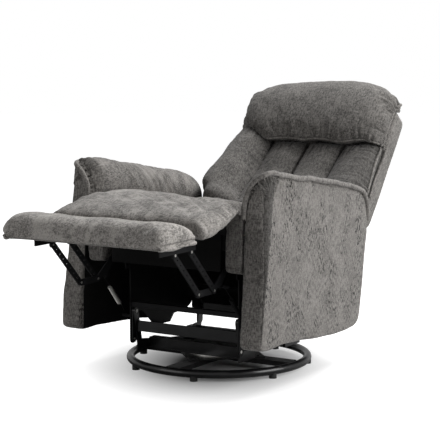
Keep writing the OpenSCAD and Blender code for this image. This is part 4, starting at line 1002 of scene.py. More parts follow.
def chaise_rings():
    """Rings of the seat and calf pad from the footrest back to the seat's rear."""
    s = np.linspace(-1, 1, 45)
    at_arms = [-352, -349, -346, -343, -340, -337, -334.5, -333, -331.5, -328, -322]
    before, behind = np.linspace(CHAISE_FRONT, -355, 28), np.linspace(-312, CHAISE_REAR, 36)
    rings = []
    for y in np.unique(np.concatenate([before, at_arms, behind])):
        t = (y - CHAISE_FRONT) / (CHAISE_REAR - CHAISE_FRONT)
        half = chaise_half(y)
        low = np.interp(y, *np.transpose(CHAISE_LOW))
        thick = np.interp(y, *np.transpose(CHAISE_TOP)) - low

        def rolled(reach):
            return thick * 0.5 * (1 - (1 - np.clip((1 - np.abs(s)) * half / reach, 0, 1)) ** 2.2) ** 0.5

        crown = 6 * bulge(s, 2.5) * bulge(2 * t - 1, 6) - 18 * ease((s + 0.8) / 1.2) * ease((y + 340) / 90)
        middle = low + thick * 0.5
        upper, lower = middle + rolled(40) + crown, middle - rolled(12)
        z = np.concatenate([upper, lower[-2:0:-1]])
        rings.append(np.column_stack([np.concatenate([s, s[-2:0:-1]]) * half, np.full(len(z), y), z]))
    return np.array(rings)


# Footrest pad in the room: section front to rear and height
FOOT_SECTION = [
    (-743, 474), (-746, 490), (-742, 509), (-728, 526), (-700, 535), (-662, 536), (-625, 531), (-590, 520),
    (-565, 507), (-553, 491), (-552, 476), (-556, 469.5), (-600, 469), (-650, 469), (-700, 469), (-738, 469),
]


def foot_rings():
    """Rings of the footrest's pad from end to end, its underside kept flat round the board."""
    section = curve_through(FOOT_SECTION, 84, True)
    middle, half = -648, 277.0
    rings = []
    for s in np.sin(np.linspace(-np.pi / 2, np.pi / 2, 56)):
        e = bulge(s, 26) ** 0.5
        p = section.copy()
        p[:, 1] = BOARD_TOP + (p[:, 1] - BOARD_TOP) * (0.34 + 0.66 * e)
        p[:, 0] = middle + (p[:, 0] - middle) * (0.98 + 0.02 * e)
        rings.append(at_x(s * half, p))
    return np.array(rings)


# How far the seams between the back's channels stand forward, in shares of the box's depth, by place up the back, in
# shares of SEAM_UNIT
SEAM_UNIT = 420.0
SEAM_TABLE = np.array([(-0.32, 1.5), (-0.26, 2.2), (-0.19, 2.3), (-0.1, 1.8), (0.24, 0.84), (0.58, 0.36), (0.64, 0.25)])


def seam_height(u):
    """How far the seams between the channels stand forward at a place up the back."""
    return np.interp(u / SEAM_UNIT, *SEAM_TABLE.T) * SHELL_DEEP


def back_half(u):
    """Half the width of the back: narrower where it goes down between the arms."""
    return 245 + 39 * ease((u + 60) / 50)


# How far the outer channels stand up from the seams, by place up the back, on the two sides
BOLSTER_LEFT = np.array([
    (-134, 76), (-60, 92), (0, 102), (50, 104), (100, 99), (150, 90), (200, 78), (250, 66), (300, 52),
])
BOLSTER_RIGHT = np.array([(-134, 44), (0, 48), (100, 42), (200, 33), (250, 28)])


def back_rings():
    """Rings of the channelled back cushion, from its lower edge up under the head pillow."""
    s = np.linspace(-1, 1, 161)
    flank = np.clip((np.abs(s) - 0.5) / 0.5, 0, 1)
    full = np.minimum(1, np.sin(np.pi * np.clip(flank / 1.16, 0, 1)) ** 0.5 * 1.02)
    full *= 1 - ease((flank - 0.86) / 0.14) * 0.62
    lobe = 27 * np.abs(np.sin(2 * np.pi * (s + 1))) ** 0.5
    edge = bulge(s, 20)
    x = np.linspace(1, -1, 12)
    foot = -134
    rings = []
    for t in 0.5 - 0.5 * np.cos(np.pi * np.linspace(0, 1, 54)):
        u = foot + t * (392 + 60 * ease((-s - 0.42) / 0.42))
        e = bulge(2 * t - 1, 8) ** 0.5
        half = back_half(u) - 0.6 - 9 * (1 - e)
        bolster = np.where(s < 0, np.interp(u, *BOLSTER_LEFT.T), np.interp(u, *BOLSTER_RIGHT.T))
        rise = np.where(np.abs(s) < 0.5, lobe, bolster * full)
        v = SHELL_DEEP + 0.3 + np.maximum(2, (seam_height(u) * (0.3 + 0.7 * edge) - 7 + rise) * (0.4 + 0.6 * e))
        front = np.column_stack([s * half, u, v])
        rear = np.column_stack([x * np.interp(x, s, half), np.interp(x, s, u), np.full(12, SHELL_DEEP + 0.5)])
        rings.append(on_back(np.concatenate([front, rear])))
    return np.array(rings)


# The pillow's section: front, forward and up, and rear, backward and up, in shares of its depth and its height
PILLOW_FRONT = [
    (0.1, 0.15), (0.36, 0.075), (0.62, 0.0), (0.82, 0.05), (0.97, 0.19), (1.03, 0.38), (1.0, 0.58), (0.88, 0.76),
    (0.66, 0.91), (0.38, 0.99),
]
PILLOW_REAR = [(-0.06, 1.0), (0.2, 0.88), (0.42, 0.64), (0.56, 0.32), (0.6, 0.06)]
# How far the pillow's top is lifted, by its place across
PILLOW_LIFT = np.array([
    (-1, -10), (-0.87, -7), (-0.6, 4), (-0.3, 8), (0, 12), (0.3, 16), (0.58, 19), (0.8, 15), (0.9, 8), (1, 2),
])


def pillow_low(s):
    """Height of the pillow's lower edge, which dips at the channels' seams and lifts towards its ends."""
    return (236 + 8 * np.abs(np.sin(2 * np.pi * s)) + 62 * ease((-s - 0.5) / 0.5)
            + 9 * np.exp(-(((s - 0.8) / 0.14) ** 2)) + 8 * ease((s - 0.85) / 0.15))


def pillow_depth(s):
    """How deep the pillow is at a place across, as a share of its full depth."""
    return 0.22 + 0.78 * bulge(s, 6) ** 0.5


def pillow_rings():
    """Rings of the head pillow from end to end, its ends drawn in to the side seams."""
    rings = []
    for s in -np.cos(np.pi * np.linspace(0, 1, 60)):
        e = bulge(s, 6) ** 0.5
        low = pillow_low(s)
        top = 248 + 248 * (0.81 + 0.19 * (0.3 * e + 0.7 * bulge(s, 2.5))) + np.interp(s, *PILLOW_LIFT.T)
        depth = 92 * pillow_depth(s)
        front = [(SHELL_DEEP + 0.3 + depth * a, low + (top - low) * b) for a, b in PILLOW_FRONT]
        rear = [(SHELL_DEEP * (1 - a * (0.7 + 0.3 * e)), SHELL_TOP + (top - SHELL_TOP) * b) for a, b in PILLOW_REAR]
        inner = [(31, SHELL_TOP + 0.3), (62.6, SHELL_TOP + 0.3), (62.6, 350), (62.6, low + 8)]
        section = np.concatenate([curve_through(front + rear, 60), inner])
        rings.append(on_back(at_x(s * PILLOW_HALF, section[:, ::-1])))
    return np.array(rings)


def shell_rings():
    """Rings of the back's box from its rear face forward, with soft edges."""
    right = [
        (245, -165), (245, -60), (248, -50), (262, -35), (277, -20), (286.5, -8), (286.5, 60), (286.5, 200),
        (286.5, 350), (286.5, 397), (284, 409), (275, 418), (262, 421.5), (150, 421.5), (0, 421.5),
    ]
    left = [(-a, b) for a, b in right[-2::-1]]
    outline = curve_through(right + left + [(-120, -165), (0, -165), (120, -165)], 200, True)
    # each ring's place forward of the rear face, and how far it is drawn in
    stations = [
        (-12, 150), (-12, 80), (-11.8, 20), (-11, 8), (-9.4, 3.5), (-6.5, 1), (0, 0), (30, 0.5), (50, 0), (58, 1.5),
        (62, 4), (62, 30),
    ]
    return np.array([on_back(at_x(v, drawn_in(outline, (0.0, 120.0), inset, 0.8))[:, [1, 2, 0]])
                     for v, inset in stations])


# ---------------------------------------------------------------- operators

def lamp(name, place, aim, size, power):
    """A rectangular lamp at a place in metres, aimed at another."""
    light = bpy.data.lights.new(name, "AREA")
    light.shape = "RECTANGLE"
    light.size, light.size_y = size
    light.energy = power
    obj = new_object(name, light)
    obj.location = place
    obj.rotation_euler = (Vector(aim) - Vector(place)).to_track_quat("-Z", "Y").to_euler()


def studio_world():
    """A dim even light from all round that looks white to the camera and half white in gloss."""
    space = bpy.data.worlds.new("Studio")
    space.use_nodes = True
    tree = space.node_tree
    plain = tree.nodes["Background"]
    plain.inputs["Color"].default_value = (1, 1, 1, 1)
    plain.inputs["Strength"].default_value = 0.12
    white = add(tree, "ShaderNodeBackground", {"Color": (1, 1, 1, 1), "Strength": 1.0})
    ray = add(tree, "ShaderNodeLightPath")
    straight = add(tree, "ShaderNodeMath", {0: ray["Is Camera Ray"], 1: ray["Is Transmission Ray"]},
                   operation="MAXIMUM")
    gloss = add(tree, "ShaderNodeMath", {0: ray["Is Glossy Ray"], 1: 0.45}, operation="MULTIPLY")
    seen = add(tree, "ShaderNodeMath", {0: straight[0], 1: gloss[0]}, operation="MAXIMUM")
    mix = add(tree, "ShaderNodeMixShader", {0: seen[0], 1: plain.outputs[0], 2: white[0]})
    tree.links.new(mix[0], tree.nodes["World Output"].inputs[0])
    return space


def floor_material(azimuth):
    """Matt grey that glows white to the camera beyond a soft oval under the chair, turned to an azimuth; the dimmer
    oval is a painted shadow.
    """
    material = bpy.data.materials.new("studio_floor")
    material.use_nodes = True
    tree = material.node_tree
    tree.nodes.clear()
    place = add(tree, "ShaderNodeTexCoord")
    spread = add(tree, "ShaderNodeMapping", {"Vector": place["Object"], "Location": (0.02, -0.03, 0),
                                             "Rotation": (0, 0, azimuth), "Scale": (1.0, 1.45, 1.0)},
                 vector_type="TEXTURE")
    far = add(tree, "ShaderNodeVectorMath", {0: spread[0]}, operation="LENGTH")
    # Painted shadow: the glow to the camera fades in towards the chair's middle.
    rise = add(tree, "ShaderNodeMapRange", {0: far["Value"], 1: 0.13, 2: 0.44, 3: 0.0, 4: 0.95})
    ray = add(tree, "ShaderNodeLightPath")
    lift = add(tree, "ShaderNodeMath", {0: ray["Is Camera Ray"], 1: rise[0]}, operation="MULTIPLY")
    matt = add(tree, "ShaderNodeBsdfDiffuse", {"Color": (0.5, 0.5, 0.5, 1)})
    glow = add(tree, "ShaderNodeEmission", {"Strength": lift[0]})
    both = add(tree, "ShaderNodeAddShader", {0: matt[0], 1: glow[0]})
    add(tree, "ShaderNodeOutputMaterial", {"Surface": both[0]})
    return material


class RECLINER_OT_stage(bpy.types.Operator):
    """Sets the camera, the lamps, the world and the floor."""

    bl_idname = "recliner.stage"
    bl_label = "Stage and camera"

    def execute(self, context):
        scene = context.scene
        scene.view_settings.view_transform = "Standard"
        azimuth, elevation = math.radians(31.8), math.radians(7.1)
        reach = math.cos(elevation)
        back = Vector((math.sin(azimuth) * reach, -math.cos(azimuth) * reach, math.sin(elevation)))
        data = bpy.data.cameras.new("Camera")
        data.sensor_width, data.lens, data.clip_end = 36, 130.44, 100
        camera = new_object("Camera", data)
        middle = Vector((-0.00285, 0.01051, 0.45994))
        camera.location = middle + back * scene.recliner_sizes.camera_distance
        camera.rotation_euler = (-back).to_track_quat("-Z", "Y").to_euler()
        scene.camera = camera

        lamp("Key", (3.6, 0.5, 1.9), (0.2, 0, 0.4), (2.6, 2.6), 134)
        lamp("Top", (0.2, 1.6, 3.1), (0, 0, 0.5), (2.4, 2.0), 106)
        lamp("Fill", (-2.0, -3.6, 1.6), (0, 0, 0.5), (2.4, 2.4), 32)
        scene.world = studio_world()

        sides, drop = 96, 0.0005
        angle = np.linspace(0, 2 * np.pi, sides, endpoint=False)
        rim = np.column_stack([np.cos(angle), np.sin(angle)]) * scene.recliner_sizes.floor_radius
        floor = mesh_piece("floor", np.column_stack([rim, np.full(sides, -drop)]), [range(sides)], smooth=False)
        floor.data.materials.append(floor_material(azimuth))
        return {"FINISHED"}


class RECLINER_OT_base(bpy.types.Operator):
    """Paints the ring, the star and the bearing, and adds the star's rivets."""

    bl_idname = "recliner.base"
    bl_label = "Ring base"

    def execute(self, context):
        repaint("black_steel", "base_ring", "star_base")
        repaint("black_plastic", "floor_glides", "ball_cage")
        repaint("zinc_steel", "lower_race", "bearing_balls")
        reach, top = 0.145, 0.0375
        places = [(reach * math.cos(a), reach * math.sin(a), top) for a in np.radians([0, 90, 180, 270])]
        rivets = grown(mesh_piece("star_plate_rivets", places, [], smooth=False), head_tree(), Width=0.005,
                       Height=0.0022, Material=finish("black_steel"))
        dress(rivets, "black_steel", "base")
        return {"FINISHED"}


class RECLINER_OT_frame(bpy.types.Operator):
    """Paints the swivel frame and its hanging links."""

    bl_idname = "recliner.frame"
    bl_label = "Swivel frame"

    def execute(self, context):
        repaint("black_steel", "swivel_plate", "front_lower_beam", "rear_lower_beam", "front_posts", "rear_posts",
                "front_spreader_bar", "rear_spreader_bar", "front_hanging_links", "rear_hanging_links")
        repaint("zinc_steel", "upper_race", "swivel_bolt", "upper_glide_pins")
        return {"FINISHED"}


# The footrest's springs: their distance across, their ends in the level body, and the way from end to end
SPRING_X = 222
SPRING_LOW, SPRING_HIGH = np.array([0.0, -196.0, 150.0]), np.array([0.0, -334.0, 288.0])
SPRING_LONG = np.linalg.norm(SPRING_HIGH - SPRING_LOW)
SPRING_WAY = (SPRING_HIGH - SPRING_LOW) / SPRING_LONG


def spring_parts(x):
    """A spring at a distance across: its wound middle and the hooks at its two ends."""
    across = np.array([1.0, 0.0, 0.0])
    out = np.cross(SPRING_WAY, across)
    base = SPRING_LOW + across * x
    coil, wire = 0.42 * SPRING_LONG, 0.0015
    start = (SPRING_LONG - coil) / 2
    wound = grown(path_object("coil", [[(0, 0, 0), (0, 0, 0.01)]]), coil_tree(), Curls=23.0, Radius=0.006,
                  Length=coil / 1000, Wire=wire, Material=finish("zinc_steel"))
    p = points_of(wound.data) * 1000
    move_points(wound.data, world(base + p[:, :1] * across + p[:, 1:2] * out + (p[:, 2:] + start) * SPRING_WAY))
    parts = [wound]
    for end, sign in ((0.0, 1), (SPRING_LONG, -1)):
        eye = [base + SPRING_WAY * end + 5.2 * (math.cos(a) * out + math.sin(a) * SPRING_WAY * sign)
               for a in np.linspace(-0.2 * math.pi, -1.75 * math.pi, 14)]
        shank = [base + SPRING_WAY * (end + sign * k) for k in (7, 12, start - 3)]
        tail = base + SPRING_WAY * (end + sign * start) + across * 6
        parts.append(grown(path_object("hook", [world(smoothed([*eye, *shank, tail]))]), welt_tree(), Radius=wire,
                           Pucker=0.0, Waver=0.0, Step=0.0015, Material=finish("zinc_steel")))
    return parts


class RECLINER_OT_mechanism(bpy.types.Operator):
    """Paints the plates, rails, cranks and links of the mechanism, and winds the footrest's springs."""

    bl_idname = "recliner.mechanism"
    bl_label = "Mechanism"

    def execute(self, context):
        repaint("matt_steel", "hanging_plate_left", "hanging_plate_right", "mechanism_plate_left",
                "mechanism_plate_right", "front_cross_rail", "rear_cross_rail", "arm_brackets", "back_hinge_brackets",
                "footrest_brackets", "cranks", "front_links", "rear_links")
        repaint("zinc_steel", "lower_glide_pins", "crank_rivets", "front_link_rivets", "rear_link_rivets",
                "recline_pins", "seat_springs")
        repaint("timber", "seat_frame_rails", "back_stiles", "back_rails", "footrest_board")
        repaint("black_cloth", "back_webbing")
        springs = joined("footrest_coils", [part for s in (-1, 1) for part in spring_parts(s * SPRING_X)])
        dress(springs, "zinc_steel", None, replaces=["footrest_springs"])
        # Painted shade: the near spring and the ends of both take matt black paint; only the far spring's middle, where
        # the light falls, stays zinc.
        tint_faces(springs, "matt_steel", lambda c, n: (np.abs(level(c)[:, 2] - 219) > 30) | (c[:, 0] > 0))
        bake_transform(springs)
        return {"FINISHED"}


class RECLINER_OT_arms(bpy.types.Operator):
    """Covers both arms: outer wrap, gathered strip, pad and piped edges."""

    bl_idname = "recliner.arms"
    bl_label = "Arms"

    def execute(self, context):
        sizes = context.scene.recliner_sizes
        for side, flip in SIDES:
            arm_board(side, flip)
            edge = world(arm_spread(arm_edge(), flip))
            under = arm_cover(side, flip, edge, sizes)
            pad, inner = arm_pad(side, flip, edge, sizes)
            welt(f"arm_welt_{side}", [edge], sizes.welt_radius, "chassis", waver=0.005, pucker=0.9, seed=float(flip))
            welt(f"arm_inner_welt_{side}", [laid(inner[4:], pad, 0.001)], 0.0034, "chassis", waver=0.002,
                 seed=3.0 + flip)
            stitches(f"arm_stitches_{side}", [under[104:190]], "chassis")
        return {"FINISHED"}


def arm_cover(side, flip, edge, sizes):
    """An arm's cover, gathered below its piped edge. Gives back the path along its surface below that edge."""
    cover = rounded(f"arm_wrap_{side}", world(arm_spread(arm_rings(), flip)), 0.006, 3)
    creases = world(np.array([(356, -318, 380), (357, -300, 520), (356, -286, 590)]) * (flip, 1, 1))
    under = laid(edge + (0.001 * flip, 0.004, -0.010), cover, 0.0002)
    push(cover, lambda p: gathers(p, edge[28:82], 0.040, 0.015, 3.4 * sizes.gather_height, 5)
         + gathers(p, edge[82:], 0.016, 0.023, 0.0008, 9)
         + 0.0016 * ripple(p, 0.16, 3) + seam(p, under, 0.005, 0.005) + 0.4 * seam(p, creases, 0.012, 0.001))
    if flip < 0:
        let_in(cover, bpy.data.objects["release_housing"])
    dress(cover, "side", "chassis", replaces=[f"arm_cover_{side}"])

    # Painted shade: side faces just behind the front, where the corner turns from the light, take the dark corner
    # cloth.
    def turned(c, n):
        q = level(c)
        rim = np.interp(q[:, 2], [117, 261, 378, 470, 523, 570, 600, 640],
                        [-333, -327, -319, -309, -302, -293, -284, -276])
        return (n[:, 0] * flip > 0) & (q[:, 1] < rim) & (q[:, 2] < 640)

    def inside(c, n):
        return (n[:, 0] * flip < -0.6) & (c[:, 2] < 0.47 - 0.07 * c[:, 1]) & (c[:, 1] > -0.318)

    tint_faces(cover, "wrap", turned)
    tint_faces(cover, "front", lambda c, n: n[:, 1] < -0.9)
    tint_faces(cover, "black_cloth", inside)
    return under


def let_in(cover, housing):
    """Draws an arm's cover in behind the release's housing, and flat round its bezel."""
    p = points_of(cover.data)
    corners = np.array([housing.matrix_world @ Vector(c) for c in housing.bound_box])
    low, high = corners.min(axis=0), corners.max(axis=0)
    face = p[:, 0] < high[0] - 0.004
    away = np.maximum(0, np.maximum(low - p, p - high))[:, 1:].max(axis=1)
    reach, sunk = 0.03, 0.0025
    flat = face & (away < reach)
    p[flat, 0] += (np.maximum(p[:, 0], low[0] + 0.0022) - p[:, 0])[flat] * (1 - ease(away[flat] / reach))
    back = housing.matrix_world.inverted()
    for k in np.flatnonzero(face & (away < 0.001)):
        start = back @ Vector((low[0] - 0.1, p[k, 1], p[k, 2]))
        if housing.ray_cast(start, back.to_3x3() @ Vector((1, 0, 0)))[0]:
            p[k, 0] = high[0] + sunk
    move_points(cover.data, p)


def arm_pad(side, flip, edge, sizes):
    """An arm's pad, sewn to the piped edge and to an inner seam. Gives back the pad and the inner seam's path."""
    if flip > 0:
        rise, sweep = (lambda y: 4.0), 170.0
    else:
        crest = [(-333, 8), (-300, 19), (-230, 24), (-65, 22), (60, 13), (173, 6), (290, 2)]
        rise, sweep = (lambda y: np.interp(y, *np.transpose(crest))), 42.0
    join = arm_edge()[:88]
    join[:, 0] -= np.interp(join[:, 2], [500, 600, 628], [1, 5, 12])
    join[:, 1] += 23
    inner = world(arm_spread(join, flip))

    def held(p):
        return np.maximum(sewn(p, [edge[::5]], 0.010), sewn(p, [inner[::5]], 0.006))

    pad = stuffed(f"arm_cap_{side}", world(arm_spread(pad_rings(rise, sweep), flip)), held, 0.005, 3,
                  0.7 * sizes.loft, 0.03)
    push(pad, lambda p: gathers(p, inner, 0.045, 0.017, 0.0030, 21) + pulls(p)
         + puckers(p, edge[:100], 0.004, 0.021, 0.012, 0.0034, 23)
         + seam(p, inner, 0.005, 0.004) + 0.0014 * ripple(p, 0.10, 13))
    # Painted shade: the pad takes a darker copy of the cloth.
    dress(pad, "pad", "chassis", replaces=[f"arm_pad_{side}"])
    tint_faces(pad, "front", lambda c, n: n[:, 1] < np.where(level(c)[:, 2] < 600, -0.30, -0.75))
    return pad, inner


class RECLINER_OT_seat(bpy.types.Operator):
    """Makes the seat and calf pad in one cover, the corner blocks, the rear panel's cover and the thin cloths."""

    bl_idname = "recliner.seat"
    bl_label = "Seat and calf pad"

    def execute(self, context):
        chaise(context.scene.recliner_sizes)
        for side, flip in SIDES:
            block_piece(side, flip)
        thin_cloth("dust_band", [(-317, 446), (-321, 440), (-321.5, 424), (-320, 400), (-321, 376), (-320, 350),
                                 (-319, 336), (-317, 330.5), (-314, 330)],
                   np.linspace(-198, 198, 56), 0.0022, 91, ["front_cloth_band"])
        thin_cloth("rail_facing", [(-313, 447), (-316.8, 445), (-316.8, 430), (-316.8, 410), (-316.8, 398),
                                   (-314, 394.4)],
                   np.linspace(-221, 221, 56), 0.0002, 92)
        for side, s in SIDES:
            wall = [(0, 394.6), (1.1, 394.6), (1.1, 418), (1.1, 440.6), (0, 440.6), (0, 418)]
            rings = [[(s * (262.4 + k), y, z) for k, z in wall] for y in np.linspace(-314, 218, 60)]
            stretched_cloth(solid(f"rail_cloth_{side}", world(rings)))
            thin_cloth(f"rail_end_cloth_{side}", [(214, 442.4), (217.4, 441.2), (217.8, 430), (217.8, 418),
                                                  (217.8, 400), (217.4, 394), (214, 392.8)],
                       np.sort(s * np.linspace(209, 262, 14)), 0, 96)
        rear_cover()
        thin_cloth("dust_lining", [(219, 412), (221, 398), (232, 374), (246, 352), (260, 333), (272, 316), (283, 303),
                                   (284.6, 290)],
                   np.linspace(-194, 194, 50), 0.004, 95)
        return {"FINISHED"}


def chaise(sizes):
    """The seat and calf pad in one cover, between the chassis and the footrest."""
    low_edge = ((-525, 448), (-463, 468), (-409, 490), (-345, 521))
    edges = [world(curve_through([(s * (chaise_half(y) - 2), y, z) for y, z in low_edge], 20)) for s in (-1, 1)]

    def held(p):
        return np.maximum(sewn(p, edges, 0.012), (p[:, 1] > -0.28) & (p[:, 2] < 0.46))

    def folds(p):
        d = p[:, 0] * 0.62 + p[:, 1] * 0.78
        bend = 1.7 * np.sin(p[:, 0] * 8 + p[:, 1] * 6)
        wave = waves(d, 0.085, bend) ** 3 + 0.5 * waves(d, 0.043, 2 * bend) ** 3
        zone = np.exp(-(((p[:, 1] + 0.34) / 0.13) ** 2)) * np.exp(-(((p[:, 0] - 0.03) / 0.17) ** 2))
        up = np.clip((p[:, 2] - 0.50) / 0.02, 0, 1)
        return (0.0030 * wave * zone + 0.0022 * ripple(p, 0.15, 31) + 0.0008 * ripple(p, 0.05, 33)) * up

    pad = stuffed("chaise_pad", world(chaise_rings()), held, 0.007, 4, 0.5 * sizes.loft, 0.035)
    push(pad, folds)
    for k, e in enumerate(edges):
        push(pad, lambda p: gathers(p, e, 0.035, 0.019, 0.0016, 35 + k))
    dress(pad, "top", None, replaces=["seat_cushion", "calf_pad"])
    # Forward faces take the front cloth: no brushed marks, and a little darker, which is painted shade.
    tint_faces(pad, "front", lambda c, n: (n[:, 1] < -0.45) & (n[:, 2] < 0.35))
    tint_faces(pad, "black_cloth", lambda c, n: (np.abs(c[:, 0]) < 0.221) & (n[:, 2] < 0.3) & (c[:, 1] > -0.50)
               & (c[:, 2] < 0.53))
    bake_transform(pad)


def rear_cover():
    """The black cloth round the rear panel, rounded off at its ends."""
    section = curve_through([
        (291, 301), (297, 299), (299.5, 292), (299, 240), (299.5, 190), (299, 140), (297, 129), (291, 127), (285, 129),
        (283, 136), (283, 190), (283, 240), (283, 292), (285, 299),
    ], 72, True)
    end = [(284.6, 0.06), (284, 0.02), (283, 0)]
    stations = [(-x, k) for x, k in end] + [(x, 0) for x in np.linspace(-276, 276, 60)] + end[::-1]
    rings = [at_x(x, section * (1 - k) + np.array([291.0, 214.0]) * k) for x, k in stations]
    rear = solid("rear_cover", world(rings))
    push(rear, lambda p: 0.0008 * ripple(p * (1, 0, 0.5), 0.12, 93))
    dress(rear, "black_cloth", "chassis", replaces=["rear_panel"])


def stretched_cloth(obj, replaces=()):
    """Finishes a piece as black cloth stretched over the seat frame."""
    dress(obj, "black_cloth", "chassis", replaces=replaces)


def thin_cloth(name, section, across, sway, seed, replaces=()):
    """A thin cloth through a section front to rear and up, in level millimetres, with a slight sway."""
    line = curve_through(section, 40)
    both = np.concatenate([line, (line + square_to(np.gradient(line, axis=0)) * CLOTH_THICK)[::-1]])
    obj = solid(name, world([at_x(x, both) for x in across]))
    p = points_of(obj.data)
    inside = np.clip((np.abs(across).max() / 1000 - np.abs(p[:, 0])) / 0.03, 0, 1)
    p[:, 1] += inside * sway * ripple(p * (1, 0, 0.6), 0.13, seed) * 0.6
    move_points(obj.data, p)
    stretched_cloth(obj, replaces)


def block_piece(side, flip):
    """A padded block under a front corner of the seat, its cover folded round the lower edge."""
    outline = curve_through([
        (-333, 506), (-337, 500), (-338, 470), (-338, 430), (-338, 380), (-337, 350), (-332, 334), (-320, 328),
        (-296, 327), (-281, 331), (-275, 345), (-274, 392), (-276, 394), (-300, 394), (-312, 397), (-318, 412),
        (-320, 445), (-324, 480), (-326, 503), (-330, 507),
    ], 96, True)
    inward = square_to(np.gradient(np.concatenate([outline[-1:], outline, outline[:1]]), axis=0)[1:-1])
    inward *= np.sign((inward * (np.array([-306.0, 400.0]) - outline)).sum(1).mean())
    stations = [(221, 6), (222.5, 3), (226, 1), (234, 0), (250, 0), (264, 0), (273, 1), (277, 3), (278.6, 6)]
    rings = np.array([at_x(x, outline + inward * inset * 0.7) for x, inset in stations])
    obj = rounded(f"corner_pad_{side}", world(rings * (flip, 1, 1)), 0.004, 3)
    fold = world(np.array([(219, -338, 352), (240, -339, 346), (262, -339, 347), (280, -338, 353)]) * (flip, 1, 1))
    push(obj, lambda p: seam(p, fold, 0.004, 0.004) + gathers(p, fold, 0.02, 0.014, 0.0012, 43)
         + 0.0012 * ripple(p, 0.06, 41))
    # Painted shade: the corner block takes a darker copy of the cloth.
    dress(obj, "block", "chassis", replaces=["corner_blocks"])


class RECLINER_OT_footrest(bpy.types.Operator):
    """Makes the footrest's padded top, the folded cloth at its ends, its corner knots and its front stitches."""

    bl_idname = "recliner.footrest"
    bl_label = "Footrest"

    def execute(self, context):
        pad = footrest_top(context.scene.recliner_sizes)
        for side, s in SIDES:
            end_fold(side, s)
        knots = [[(s * 262, -750, 473), (s * 268, -749, 474), (s * 272, -744, 475), (s * 274, -738, 476)]
                 for s in (-1, 1)]
        welt("footrest_corner_knots", [laid(room(knot), pad) for knot in knots], 0.0045, "footrest", waver=0.0005,
             seed=8.0)
        rim = room([(x, -746, 472.5) for x in np.linspace(-262, 262, 60)])
        stitches("footrest_stitches", [laid(rim, pad, 0.0002)], "footrest")
        return {"FINISHED"}


def footrest_top(sizes):
    """The footrest's pad, sewn down along both ends."""
    ends = [room([(s * 274, -742, 482), (s * 274, -700, 481), (s * 274, -650, 481), (s * 274, -600, 481),
                  (s * 273, -556, 483)]) for s in (-1, 1)]

    def folds(p):
        wave = waves(p[:, 0] * 0.72 - p[:, 1] * 0.69, 0.055, 1.2 * np.sin(p[:, 0] * 20)) ** 3
        near_end = np.exp(-(((p[:, 0] - 0.215) / 0.055) ** 2)) + 0.7 * np.exp(-(((p[:, 0] + 0.235) / 0.05) ** 2))
        top = np.clip((p[:, 2] - 0.475) / 0.02, 0, 1)
        return (0.0022 * wave * near_end + 0.0022 * ripple(p, 0.13, 51) + 0.0008 * ripple(p, 0.05, 53)) * top

    pad = stuffed("footrest_top", room(foot_rings()), lambda p: np.maximum(sewn(p, ends, 0.010), p[:, 2] < 0.473),
                  0.006, 3, 0.35 * sizes.loft, 0.03)
    push(pad, folds)
    for k, e in enumerate(ends):
        push(pad, lambda p: seam(p, e, 0.006, 0.008) + gathers(p, e, 0.030, 0.019, 0.0026, 55 + k))
    # Painted light: the pad takes a lighter copy of the cloth.
    dress(pad, "foot", "footrest", replaces=["footrest_pad"])
    # Painted shade: faces turned down take the darker front cloth.
    tint_faces(pad, "front", lambda c, n: n[:, 2] < -0.5)
    return pad


def end_fold(side, s):
    """A flat roll of cloth along one end of the footrest."""
    turn = np.linspace(0, 2 * np.pi, 20, endpoint=False)
    rings = []
    front, rear = -741, -556
    for y in np.linspace(front, rear, 30):
        t = (y - front) / (rear - front)
        fat = 0.55 + 0.45 * bulge(2 * t - 1, 8) ** 0.5
        droop = 1.6 * math.sin(9 * t + s) + 2.5 * t
        middle = np.array([s * (267 + 1.5 * math.sin(7 * t)), y, 471 + droop])
        rings.append(middle + np.column_stack([12 * fat * np.cos(turn), 0 * turn, 6.4 * fat * np.sin(turn)]))
    fold = rounded(f"footrest_fold_{side}", room(rings), 0.003, 2)
    push(fold, lambda p: 0.0009 * ripple(p, 0.03, 57 + s))
    # Painted light: the fold takes the footrest's lighter copy of the cloth.
    dress(fold, "foot", "footrest")


class RECLINER_OT_back(bpy.types.Operator):
    """Makes the back's box, its channelled cushion, the head pillow and their piping."""

    bl_idname = "recliner.back"
    bl_label = "Back and head pillow"

    def execute(self, context):
        sizes = context.scene.recliner_sizes
        shell = rounded("back_cover", world(shell_rings()), 0.007, 2)
        push(shell, lambda p: 0.0014 * ripple(p, 0.14, 61))
        dress(shell, "shell", "back", replaces=["back_shell"])
        cushion, lines = channelled_cushion(sizes)
        pillow, side_seams, foot = head_pillow(sizes)
        back_piping(cushion, pillow, side_seams, foot)
        paths = [laid(line + (k, 0, 0), cushion, 0.0002) for line in lines for k in (-0.006, 0.006)]
        stitches("channel_stitches", paths, "back", key="thread")
        return {"FINISHED"}


